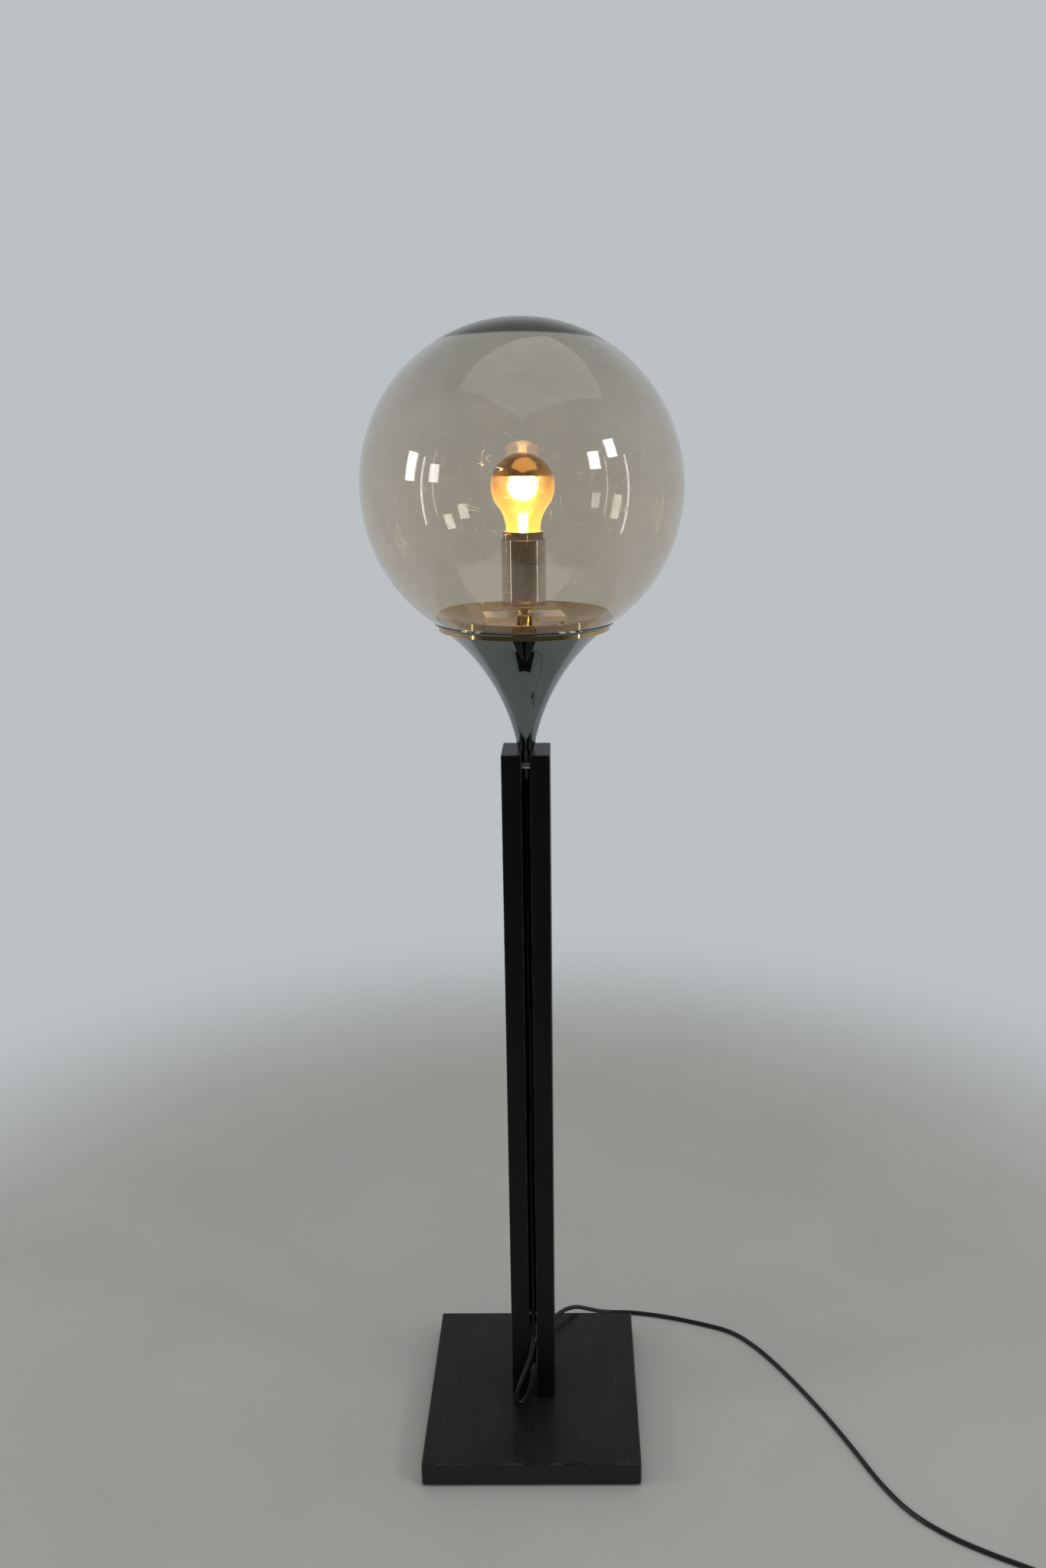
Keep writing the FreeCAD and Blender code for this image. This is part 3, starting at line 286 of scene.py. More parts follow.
def skin(nodes, given):
    """The fine skin of a moulding: eggshell dimples and faint flow marks."""
    dimples = nodes.noise(given["Place"], given["Size"], detail=2.0)
    flow = nodes.noise(given["Place"], 55.0, detail=3.0)
    return dimples, nodes.spread(flow, 0.35, 0.65)


def dust(nodes, given):
    """Dust on faces turned up: a thin film, soft specks and a few pale flecks."""
    place = given["Place"]
    specks = nodes.spread(nodes.noise(place, 420.0, detail=3.0), 0.62, 0.8)
    film = nodes.spread(nodes.noise(place, 18.0, detail=4.0), 0.35, 0.75)
    normal = nodes.add("ShaderNodeNewGeometry").outputs["Normal"]
    lying = nodes.spread(nodes.parts(normal)["Z"], 0.5, 1.0)
    cells = nodes.add("ShaderNodeTexVoronoi", {"Vector": place, "Scale": 75.0}).outputs
    chosen = nodes.spread(nodes.parts(cells["Color"])["X"], 0.62, 0.63)
    flecks = nodes.maths("MULTIPLY", nodes.spread(cells["Distance"], 0.06, 0.04), chosen)
    soft = nodes.maths("ADD", specks, nodes.maths("MULTIPLY", film, 0.35))
    settled = nodes.maths("ADD", soft, nodes.maths("MULTIPLY", flecks, 9.0))
    settled = nodes.maths("MULTIPLY", settled, lying)
    return (nodes.maths("MULTIPLY", settled, given["Amount"], clamp=True),)


def wear(nodes, given):
    """Rubbed edges: patches on the narrow slanting faces that break the edges of a board."""
    normal = nodes.add("ShaderNodeNewGeometry").outputs["Normal"]
    upright = nodes.add("ShaderNodeVectorMath", {0: normal}, operation="ABSOLUTE").outputs[0]
    parts = nodes.parts(upright)
    largest = nodes.maths("MAXIMUM", nodes.maths("MAXIMUM", parts["X"], parts["Y"]), parts["Z"])
    patches = nodes.spread(nodes.noise(given["Place"], 70.0, detail=4.0), 0.4, 0.6)
    rubbed = nodes.maths("MULTIPLY", nodes.spread(largest, 0.97, 0.85), patches)
    return (nodes.maths("MULTIPLY", rubbed, given["Amount"]),)


# Each effect's name, its inputs (None is a place, a number a default), its outputs and its nodes.
EFFECTS = {
    "Wood grain": ({"Place": None}, ("Fibres", "Pores", "Tone"), grain),
    "Handling marks": (
        {"Place": None, "Size": 40.0, "Scratch Size": 160.0}, ("Smears", "Scratches"), marks,
    ),
    "Moulded skin": ({"Place": None, "Size": 1400.0}, ("Dimples", "Flow"), skin),
    "Dust": ({"Place": None, "Amount": 0.2}, ("Dust",), dust),
    "Edge wear": ({"Place": None, "Amount": 0.5}, ("Wear",), wear),
}


def shared_group(name):
    """The shader node group of one of the effects, built the first time it is asked for."""
    if name in bpy.data.node_groups:
        return bpy.data.node_groups[name]
    inputs, outputs, build = EFFECTS[name]
    tree = bpy.data.node_groups.new(name, "ShaderNodeTree")
    for label, default in inputs.items():
        kind = "NodeSocketVector" if default is None else "NodeSocketFloat"
        socket = tree.interface.new_socket(label, in_out="INPUT", socket_type=kind)
        if default is not None:
            socket.default_value = default
    for label in outputs:
        tree.interface.new_socket(label, in_out="OUTPUT", socket_type="NodeSocketFloat")
    nodes = Nodes(tree)
    given = nodes.add("NodeGroupInput").outputs
    nodes.add("NodeGroupOutput", dict(zip(outputs, build(nodes, given))))
    return tree


# Finishes.
def new_material(name):
    material = bpy.data.materials.new(name)
    material.use_nodes = True
    material.node_tree.nodes.clear()
    nodes = Nodes(material.node_tree)
    place = nodes.add("ShaderNodeTexCoord").outputs["Object"]
    return material, nodes, place


def finish_with(nodes, shader):
    nodes.add("ShaderNodeOutputMaterial", {"Surface": shader})


def bump(nodes, height, strength, distance):
    inputs = {"Height": height, "Strength": strength, "Distance": distance}
    return nodes.add("ShaderNodeBump", inputs).outputs["Normal"]


def dimmed(tint, factor):
    return tuple(min(1.0, part * factor) for part in tint)


def stained_wood(name, tint, roughness, stretch, specular, coat):
    """Black stain under lacquer, with grain along the shortest of the three stretches."""
    material, nodes, place = new_material(name)
    run = nodes.add("ShaderNodeVectorMath", {0: place, 1: stretch}, operation="MULTIPLY").outputs[0]
    fibres, pores, tone = nodes.effect("Wood grain", {"Place": run}).values()
    settled = nodes.effect("Dust", {"Place": place, "Amount": 0.10})["Dust"]
    edges = nodes.effect("Edge wear", {"Place": place, "Amount": 0.7})["Wear"]
    stain = nodes.blend(tone, dimmed(tint, 0.7), dimmed(tint, 1.35))
    fibre = nodes.blend(nodes.maths("MULTIPLY", fibres, 0.6), stain, dimmed(tint, 2.6))
    rubbed = nodes.blend(edges, fibre, (0.045, 0.04, 0.034))
    rough = nodes.spread(fibres, 0.0, 1.0, roughness - 0.05, roughness + 0.07)
    height = nodes.maths("SUBTRACT", fibres, pores)
    shader = nodes.add("ShaderNodeBsdfPrincipled", {
        "Base Color": nodes.blend(settled, rubbed, (0.16, 0.155, 0.145)),
        "Roughness": rough,
        "Specular IOR Level": specular,
        "Coat Weight": coat,
        "Coat Roughness": 0.12,
        "Normal": bump(nodes, height, 0.35, 0.00012),
    })
    finish_with(nodes, shader.outputs[0])
    return material


def polished_metal(
    name, tint, roughness, smear=0.06, scratch=0.25, rings=0.0, settled=0.03, metallic=1.0
):
    """Metal with handling marks, a little dust and, on spun pieces, faint rings."""
    material, nodes, place = new_material(name)
    smears, scratches = nodes.effect("Handling marks", {"Place": place, "Size": 34.0}).values()
    lying = nodes.effect("Dust", {"Place": place, "Amount": settled})["Dust"]
    clean = nodes.blend(nodes.maths("MULTIPLY", smears, 0.5), tint, dimmed(tint, 0.9))
    smooth = nodes.spread(smears, 0.0, 1.0, roughness, roughness + smear)
    height = nodes.maths("MULTIPLY", scratches, -scratch)
    if rings:
        parts = nodes.parts(place)
        flat = nodes.add("ShaderNodeCombineXYZ", {"X": parts["X"], "Y": parts["Y"]}).outputs[0]
        radius = nodes.add("ShaderNodeVectorMath", {0: flat}, operation="LENGTH").outputs["Value"]
        around = nodes.add("ShaderNodeCombineXYZ", {"X": radius}).outputs[0]
        turning = nodes.maths("MULTIPLY", nodes.noise(around, 900.0), rings)
        height = nodes.maths("ADD", height, turning)
    shader = nodes.add("ShaderNodeBsdfPrincipled", {
        "Base Color": nodes.blend(lying, clean, (0.5, 0.48, 0.44)),
        "Metallic": metallic,
        "Roughness": nodes.maths("ADD", smooth, lying),
        "Normal": bump(nodes, height, 0.2, 0.00002),
    })
    finish_with(nodes, shader.outputs[0])
    return material


def moulding(name, tint, roughness, coat=0.0):
    """Plastic or rubber out of a mould."""
    material, nodes, place = new_material(name)
    dimples, flow = nodes.effect("Moulded skin", {"Place": place, "Size": 1500.0}).values()
    settled = nodes.effect("Dust", {"Place": place, "Amount": 0.08})["Dust"]
    body = nodes.blend(flow, dimmed(tint, 0.85), dimmed(tint, 1.2))
    shader = nodes.add("ShaderNodeBsdfPrincipled", {
        "Base Color": nodes.blend(settled, body, (0.3, 0.29, 0.27)),
        "Roughness": nodes.spread(flow, 0.0, 1.0, roughness - 0.03, roughness + 0.05),
        "Coat Weight": coat,
        "Normal": bump(nodes, dimples, 0.12, 0.00005),
    })
    finish_with(nodes, shader.outputs[0])
    return material


def glazed(name, tint, roughness):
    """Glazed porcelain, or black insulating glass."""
    material, nodes, place = new_material(name)
    dimples, flow = nodes.effect("Moulded skin", {"Place": place, "Size": 500.0}).values()
    shader = nodes.add("ShaderNodeBsdfPrincipled", {
        "Base Color": nodes.blend(flow, dimmed(tint, 0.93), tint),
        "Roughness": nodes.spread(dimples, 0.3, 0.7, roughness, roughness + 0.08),
        "Coat Weight": 0.6,
        "Normal": bump(nodes, dimples, 0.05, 0.0001),
    })
    finish_with(nodes, shader.outputs[0])
    return material


def felt(name, tint, roughness):
    """Pressed felt with a short nap."""
    material, nodes, place = new_material(name)
    nap = nodes.noise(place, 2600.0, detail=4.0, roughness=0.7)
    shader = nodes.add("ShaderNodeBsdfPrincipled", {
        "Base Color": nodes.blend(nap, dimmed(tint, 0.6), dimmed(tint, 1.6)),
        "Roughness": nodes.spread(nap, 0.3, 0.7, roughness, 1.0),
        "Sheen Weight": 0.3,
        "Normal": bump(nodes, nap, 0.6, 0.0003),
    })
    finish_with(nodes, shader.outputs[0])
    return material


def clear_glass(name, tint, roughness, smear, passed, clearness=1.0, glow=None, ior=1.47):
    """Blown glass with faint smears, which throws a pale tinted shadow.

    A glow is (colour, strength, height where it starts, height where it is full).
    """
    material, nodes, place = new_material(name)
    sizes = {"Place": place, "Size": 22.0, "Scratch Size": 55.0}
    smears, scratches = nodes.effect("Handling marks", sizes).values()
    ripple = nodes.noise(place, 9.0, detail=2.0)
    height = nodes.maths("SUBTRACT", ripple, nodes.maths("MULTIPLY", scratches, 0.05))
    smooth = nodes.spread(smears, 0.0, 1.0, roughness, roughness + smear)
    inputs = {
        "Base Color": nodes.blend(smears, tint, dimmed(tint, 0.95)),
        "Roughness": nodes.maths("ADD", smooth, nodes.maths("MULTIPLY", scratches, 0.3)),
        "Transmission Weight": clearness,
        "IOR": ior,
        "Normal": bump(nodes, height, 0.08, 0.002),
    }
    if glow:
        colour_of_glow, strength, start, full = glow
        lit = nodes.eased(nodes.parts(place)["Z"], start, full, "SMOOTHSTEP")
        inputs["Emission Color"] = nodes.blend(lit, (0.0, 0.0, 0.0), colour_of_glow)
        inputs["Emission Strength"] = strength
    shader = nodes.add("ShaderNodeBsdfPrincipled", inputs)
    passing = nodes.add("ShaderNodeBsdfTransparent", {"Color": (*passed, 1.0)})
    shadow = nodes.add("ShaderNodeLightPath").outputs["Is Shadow Ray"]
    sides = {0: shadow, 1: shader.outputs[0], 2: passing.outputs[0]}
    finish_with(nodes, nodes.add("ShaderNodeMixShader", sides).outputs[0])
    return material


def lit_wire(name, tint, roughness, strength):
    """Glowing filament, a little hotter along its middle."""
    material, nodes, place = new_material(name)
    heat = nodes.noise(place, 600.0, detail=2.0)
    shader = nodes.add("ShaderNodeBsdfPrincipled", {
        "Base Color": nodes.blend(heat, dimmed(tint, 0.9), tint),
        "Roughness": roughness,
        "Emission Color": nodes.blend(heat, dimmed(tint, 0.85), tint),
        "Emission Strength": strength,
    })
    finish_with(nodes, shader.outputs[0])
    return material


def finishes():
    """Each slot's maker, tint, roughness and whatever else the maker is told."""
    colours = bpy.context.scene.lamp_colours
    tint = {name: tuple(getattr(colours, name)) for name in colours.__annotations__}
    board = {"stretch": (1100.0, 16.0, 1100.0), "specular": 0.32, "coat": 0.06}
    post = {"stretch": (1000.0, 1000.0, 12.0), "specular": 0.2, "coat": 0.0}
    trumpet = {"smear": 0.05, "rings": 0.15, "settled": 0.0}
    dish = {"smear": 0.07, "rings": 0.6, "settled": 0.06}
    globe = {"smear": 0.02, "passed": (0.88, 0.87, 0.84), "clearness": 0.985}
    bulb = {
        "smear": 0.06,
        "passed": (0.98, 0.93, 0.82),
        "ior": 1.45,
        "glow": ((1.0, 0.52, 0.10), 0.6, CROWN_Z, NECK_Z),
    }
    mount = {
        "smear": 0.05,
        "passed": (0.98, 0.98, 0.98),
        "glow": ((1.0, 0.78, 0.42), 10.0, CAP_HIGH.z - 0.004, NECK_Z),
    }
    return {
        "black_stained_wood": (stained_wood, tint["wood"], 0.3, board),
        "black_stained_wood_post": (stained_wood, dimmed(tint["wood"], 0.7), 0.36, post),
        "felt_black": (felt, (0.02, 0.02, 0.02), 0.85, {}),
        "zinc_steel": (polished_metal, (0.55, 0.55, 0.56), 0.32, {}),
        "steel_rod": (polished_metal, (0.6, 0.6, 0.59), 0.16, {}),
        # The trumpet's dark tint is painted shade, standing in for dark reflections in the chrome.
        "chrome_trumpet": (polished_metal, tint["trumpet"], 0.025, trumpet),
        # The dish's gold tint is painted warm light of the bulb on plain chrome.
        "chrome_dish": (polished_metal, tint["dish"], 0.05, dish),
        "brass_column": (polished_metal, (0.80, 0.58, 0.28), 0.1, {"smear": 0.08}),
        "satin_strap": (polished_metal, (0.62, 0.61, 0.57), 0.36, {"smear": 0.1, "metallic": 0.5}),
        "nickel_sleeve": (polished_metal, tint["sleeve"], 0.07, {"smear": 0.08, "scratch": 0.5}),
        "brass": (polished_metal, (0.8, 0.6, 0.28), 0.22, {}),
        "nickel_wire": (polished_metal, (0.6, 0.58, 0.55), 0.25, {}),
        "nickel_cap": (polished_metal, (0.66, 0.62, 0.56), 0.18, {}),
        "nickel_pins": (polished_metal, (0.68, 0.66, 0.62), 0.16, {}),
        "gold_crown": (polished_metal, tint["crown"], 0.08, {"settled": 0.0}),
        "smoked_glass": (clear_glass, tint["glass"], 0.0, globe),
        "bulb_glass": (clear_glass, tint["amber"], 0.15, bulb),
        "clear_glass": (clear_glass, (0.97, 0.95, 0.9), 0.05, mount),
        "lit_filament": (lit_wire, tint["filament"], 0.5, {"strength": 280.0}),
        "black_thermoset": (moulding, (0.12, 0.10, 0.085), 0.3, {}),
        "black_pvc": (moulding, tint["cord"], 0.33, {}),
        "core_insulation": (moulding, (0.2, 0.09, 0.04), 0.4, {}),
        "tie_plastic": (moulding, (0.012, 0.012, 0.012), 0.5, {}),
        "black_switch": (moulding, (0.014, 0.014, 0.015), 0.36, {}),
        "rocker_plastic": (moulding, (0.02, 0.02, 0.02), 0.22, {"coat": 0.2}),
        "black_plug": (moulding, (0.013, 0.013, 0.014), 0.4, {}),
        "porcelain": (glazed, (0.82, 0.8, 0.75), 0.12, {}),
        "black_glass": (glazed, (0.02, 0.02, 0.025), 0.08, {}),
    }


def finish(slot):
    """The material for one of the record's slots, made the first time it is asked for."""
    for material in bpy.data.materials:
        if material.get("lamp_finish") == slot:
            return material
    maker, tint, roughness, more = finishes()[slot]
    material = maker(slot, tint, roughness, **more)
    material["lamp_finish"] = slot
    return material


def dress(*nodes):
    """Gives construction nodes their finish, in every one of their material slots."""
    slots = {part["node"]: part["material_slot"] for part in frame["record"]["subparts"]}
    for node in nodes:
        mesh = frame["nodes"][node].data
        if not mesh.materials:
            mesh.materials.append(None)
        for place in range(len(mesh.materials)):
            mesh.materials[place] = finish(slots[node])


def added(name, data):
    """A new object with this data, in the scene."""
    thing = bpy.data.objects.new(name, data)
    bpy.context.scene.collection.objects.link(thing)
    return thing


def smooth_piece(name, shape, sharp):
    """A piece of this shape, smooth except at edges sharper than an angle in degrees."""
    bmesh.ops.recalc_face_normals(shape, faces=shape.faces)
    mesh = bpy.data.meshes.new(name)
    shape.to_mesh(mesh)
    shape.free()
    mesh.shade_smooth()
    mesh.set_sharp_from_angle(angle=math.radians(sharp))
    return added(name, mesh)


# Turned pieces.
def arc_points(centre, radius, start, end, steps):
    """Points (radius, height) on an arc about a centre, from one angle to another."""
    angles = [start + (end - start) * k / steps for k in range(steps + 1)]
    return [(centre[0] + radius * math.cos(a), centre[1] + radius * math.sin(a)) for a in angles]


def tangent_points(start, heading, end, steps):
    """Points on the arc that leaves start along heading and ends at end."""
    across = (-heading[1], heading[0])
    chord = (end[0] - start[0], end[1] - start[1])
    reach = (chord[0] ** 2 + chord[1] ** 2) / (2 * (chord[0] * across[0] + chord[1] * across[1]))
    centre = (start[0] + across[0] * reach, start[1] + across[1] * reach)
    first = math.atan2(start[1] - centre[1], start[0] - centre[0])
    last = math.atan2(end[1] - centre[1], end[0] - centre[0])
    while last - first > math.pi:
        last -= 2 * math.pi
    while last - first < -math.pi:
        last += 2 * math.pi
    return arc_points(centre, abs(reach), first, last, steps)


def turned(name, outline, closed, sharp=40.0):
    """A piece turned about the lamp's axis from its outline of (radius, height) points."""
    turns = bpy.context.scene.lamp_sizes.turns
    round_axis = [2 * math.pi * k / turns for k in range(turns)]
    shape = bmesh.new()
    rings = []
    for radius, height in outline:
        if radius < ON_AXIS:
            rings.append([shape.verts.new((0.0, 0.0, height))] * turns)
        else:
            rings.append([
                shape.verts.new((radius * math.cos(a), radius * math.sin(a), height))
                for a in round_axis
            ])
    pairs = list(zip(rings, rings[1:]))
    if closed:
        pairs.append((rings[-1], rings[0]))
    for low, high in pairs:
        for k in range(turns):
            corners = []
            for corner in (low[k], low[(k + 1) % turns], high[(k + 1) % turns], high[k]):
                if corner not in corners:
                    corners.append(corner)
            if len(corners) > 2:
                shape.faces.new(corners)
    return smooth_piece(name, shape, sharp)


def place_piece(piece, body, slot, material=None):
    """Gives a new piece its finish and the body that it rides on."""
    piece.data.materials.append(finish(material or slot))
    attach(piece, body)
    return piece


# Cords.
def smooth_cord(name, points, thickness):
    """A cord whose centreline is a smooth spline with these control points."""
    curve = bpy.data.curves.new(name, "CURVE")
    curve.dimensions = "3D"
    spline = curve.splines.new("NURBS")
    spline.points.add(len(points) - 1)
    for point, place in zip(spline.points, points):
        point.co = (*place, 1.0)
    spline.order_u = 3
    spline.use_endpoint_u = True
    spline.resolution_u = 8
    curve.bevel_depth = thickness / 2
    curve.bevel_resolution = 6
    curve.use_fill_caps = True
    return added(name, curve)


def centreline(cord):
    """The points that a cord's spline passes, from its first end."""
    bare = cord.data.copy()
    bare.bevel_depth = 0.0
    helper = added("centreline", bare)
    mesh = bpy.data.meshes.new_from_object(helper)
    points = [vertex.co.copy() for vertex in mesh.vertices]
    bpy.data.objects.remove(helper)
    bpy.data.meshes.remove(mesh)
    bpy.data.curves.remove(bare)
    return points


# The strain reliefs' rings, their sides, and the ribs over a part of the length.
RELIEF_STEPS = 44
RELIEF_SIDES = 28
RIBS = 7
RIB_DEPTH = 0.00035
RIBBED = (0.08, 0.9)


def strain_relief(name, points, reach, thin, thick):
    """A tapered ribbed sleeve on a cord, from the first of its points and as long as its reach."""
    stations = [points[0]]
    along = [0.0]
    for before, after in zip(points, points[1:]):
        step = (after - before).length
        if along[-1] + step >= reach:
            stations.append(before.lerp(after, (reach - along[-1]) / step))
            along.append(reach)
            break
        if step > 1e-6:
            stations.append(after)
            along.append(along[-1] + step)
    shape = bmesh.new()
    rings = []
    for k in range(RELIEF_STEPS + 1):
        part = k / RELIEF_STEPS
        distance = part * along[-1]
        index = max(i for i in range(len(along) - 1) if along[i] <= distance + 1e-9)
        near, far = stations[index:index + 2]
        centre = near.lerp(far, (distance - along[index]) / (along[index + 1] - along[index]))
        heading = (far - near).normalized()
        side = heading.cross(Vector((0, 0, 1))).normalized()
        up = side.cross(heading)
        radius = thick + (thin - thick) * part**0.85
        if RIBBED[0] < part < RIBBED[1]:
            radius -= RIB_DEPTH * (0.5 + 0.5 * math.cos(2 * math.pi * part * RIBS))
        rings.append([
            shape.verts.new(centre + (side * math.cos(a) + up * math.sin(a)) * radius)
            for a in (2 * math.pi * j / RELIEF_SIDES for j in range(RELIEF_SIDES))
        ])
    for low, high in zip(rings, rings[1:]):
        for j in range(RELIEF_SIDES):
            after = (j + 1) % RELIEF_SIDES
            shape.faces.new((low[j], low[after], high[after], high[j]))
    shape.faces.new(rings[0])
    shape.faces.new(rings[-1])
    return smooth_piece(name, shape, 50.0)


# The wound cord: two flat layers, each out to the edge of a round bundle.
COIL_MIDDLE = (0.352, -0.2792)
COIL_INSIDE = 0.020
COIL_STEP = 0.0056
COIL_TURNS = 6
COIL_LOW = 0.0041
COIL_HIGH = 0.0097
POINTS_IN_TURN = 16


def coil_points():
    """Off the switch, down to the floor, in and out again in two layers, and up to the plug."""
    points = [
        (0.4095, -0.316, 0.0070),
        (0.4015, -0.316, 0.0070),
        (0.3915, -0.316, 0.0056),
        (0.3815, -0.316, 0.0041),
        (0.3700, -0.316, 0.0041),
    ]
    middle = COIL_TURNS / 2
    for k in range(POINTS_IN_TURN * COIL_TURNS + 1):
        turn = k / POINTS_IN_TURN
        angle = -math.pi / 2 - 2 * math.pi * turn
        radius = COIL_INSIDE + COIL_STEP * abs(turn - middle)
        layer = min(1.0, max(0.0, (turn - middle) * 2 + 0.5))
        points.append((
            COIL_MIDDLE[0] + radius * math.cos(angle) / math.cos(math.pi / POINTS_IN_TURN),
            COIL_MIDDLE[1] + radius * math.sin(angle) / math.cos(math.pi / POINTS_IN_TURN),
            COIL_LOW + layer * (COIL_HIGH - COIL_LOW),
        ))
    points += [
        (0.3440, -0.316, 0.0097),
        (0.3380, -0.316, 0.0097),
        (0.3280, -0.316, 0.0083),
        (0.3180, -0.316, 0.00685),
        (0.3100, -0.316, 0.00685),
    ]
    return points


class LAMP_OT_camera(bpy.types.Operator):
    """Sets up the camera at the picture's viewing angle"""

    bl_idname = "lamp.camera"
    bl_label = "Camera"

    def execute(self, context):
        studio = context.scene.lamp_studio
        view = bpy.data.cameras.new("picture_camera")
        view.sensor_fit = "AUTO"
        view.sensor_width = 36.0
        view.lens = studio.focal / PICTURE_HEIGHT * view.sensor_width
        view.shift_x = PICTURE_SHIFT / PICTURE_HEIGHT
        view.clip_start = 0.05
        view.clip_end = 60.0
        camera = added("picture_camera", view)
        pitch = Matrix.Rotation(math.pi / 2 - studio.pitch, 4, "X")
        roll = Matrix.Rotation(studio.roll, 4, "Z")
        camera.matrix_world = Matrix.Translation(CAMERA_PLACE) @ pitch @ roll
        context.scene.camera = camera
        return {"FINISHED"}


class LAMP_OT_cords(bpy.types.Operator):
    """Lays the cord from the post to its switch, and winds the rest up to the plug"""

    bl_idname = "lamp.cords"
    bl_label = "Cords"

    def execute(self, context):
        thickness = context.scene.lamp_sizes.cord_width
        run = smooth_cord("floor_cord", FREE_CORD, thickness)
        place_piece(run, "lamp", "black_pvc")
        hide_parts("cord_run")
        wound = smooth_cord("wound_cord", coil_points(), thickness)
        place_piece(wound, "lamp", "black_pvc")
        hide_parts("cord_coil")
        run_line = centreline(run)
        wound_line = centreline(wound)
        for name, line, reach in (
            ("switch_relief_in", run_line[::-1], 0.022),
            ("switch_relief_out", wound_line, 0.022),
            ("plug_relief", wound_line[::-1], 0.024),
        ):
            relief = strain_relief(name, line, reach, thickness * 0.56, thickness * 0.82)
            place_piece(relief, "lamp", "black_switch")
        return {"FINISHED"}


class LAMP_OT_globe(bpy.types.Operator):
    """Blows the smoked glass globe, open at the bottom"""

    bl_idname = "lamp.globe"
    bl_label = "Globe"

    def execute(self, context):
        sizes = context.scene.lamp_sizes
        outer = sizes.globe_radius
        inner = outer - sizes.globe_wall
        centre = (0.0, GLOBE_HIGH.z - outer)
        lip = sizes.globe_lip
        drop = GLOBE_LOW.z + lip - centre[1]
        outside = math.asin(drop / (outer - lip))
        inside = math.asin(drop / (inner + lip))
        outer_turn = ((outer - lip) * math.cos(outside), GLOBE_LOW.z + lip)
        inner_turn = ((inner + lip) * math.cos(inside), GLOBE_LOW.z + lip)

        def gathered(point):
            """A point of the inside, let down where the glass is thick round the top."""
            off = math.atan2(point[0], point[1] - centre[1]) / sizes.globe_gather_angle
            deeper = sizes.globe_gather * max(0.0, 1.0 - off**2) ** 2
            share_left = 1.0 - deeper / inner
            return point[0] * share_left, centre[1] + (point[1] - centre[1]) * share_left

        outline = arc_points(centre, outer, math.pi / 2, outside, 120)
        outline += arc_points(outer_turn, lip, outside, -math.pi / 2, 8)[1:]
        outline += arc_points(inner_turn, lip, -math.pi / 2, inside - math.pi, 8)
        bowl = arc_points(centre, inner, inside, math.pi / 2, 120)[1:]
        outline += [gathered(point) for point in bowl]
        outline[0] = (0.0, outline[0][1])
        outline[-1] = (0.0, outline[-1][1])
        piece = place_piece(turned("smoked_globe", outline, closed=False), "globe", "smoked_glass")
        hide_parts("glass_globe")
        return {"FINISHED"}


def flare_of(sizes):
    """The flare's centre, and the bead's, as (radius, height)."""
    bead = (TRUMPET_HIGH.x - sizes.trumpet_bead, TRUMPET_HIGH.z - sizes.trumpet_bead)
    foot = (sizes.trumpet_foot - sizes.trumpet_wall / 2, TRUMPET_LOW.z)
    along = (bead[0] - foot[0], bead[1] - foot[1])
    reach = math.hypot(*along)
    away = math.sqrt(sizes.trumpet_flare**2 - reach**2 / 4)
    centre = (
        (foot[0] + bead[0]) / 2 + along[1] / reach * away,
        (foot[1] + bead[1]) / 2 - along[0] / reach * away,
    )
    return centre, bead


class LAMP_OT_trumpet(bpy.types.Operator):
    """Spins the chrome trumpet that carries the globe"""

    bl_idname = "lamp.trumpet"
    bl_label = "Trumpet"

    def execute(self, context):
        sizes = context.scene.lamp_sizes
        centre, bead = flare_of(sizes)
        floor_top = TRUMPET_LOW.z + sizes.trumpet_wall
        top = math.atan2(bead[1] - centre[1], bead[0] - centre[0])

        def face(radius, low):
            foot = math.pi - math.asin((low - centre[1]) / radius)
            points = arc_points(centre, radius, foot, top, 90)
            return [point for point in points if math.dist(point, bead) > sizes.trumpet_bead]

        outside = face(sizes.trumpet_flare - sizes.trumpet_wall / 2, TRUMPET_LOW.z)
        inside = face(sizes.trumpet_flare + sizes.trumpet_wall / 2, floor_top)[::-1]
        first = math.atan2(outside[-1][1] - bead[1], outside[-1][0] - bead[0])
        last = math.atan2(inside[0][1] - bead[1], inside[0][0] - bead[0])
        if last < first:
            first, last = first, last + 2 * math.pi
        round_bead = arc_points(bead, sizes.trumpet_bead, first, last, 20)
        if not any(height > bead[1] + sizes.trumpet_bead * 0.9 for _, height in round_bead):
            round_bead = arc_points(bead, sizes.trumpet_bead, first + 2 * math.pi, last, 20)
        outline = [(sizes.stem_hole, TRUMPET_LOW.z), *outside, *round_bead, *inside]
        outline += [(sizes.stem_hole, floor_top)]
        piece = turned("chrome_trumpet", outline, closed=True)
        place_piece(piece, "lamp", "chrome_trumpet")
        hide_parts("trumpet_cone")
        return {"FINISHED"}


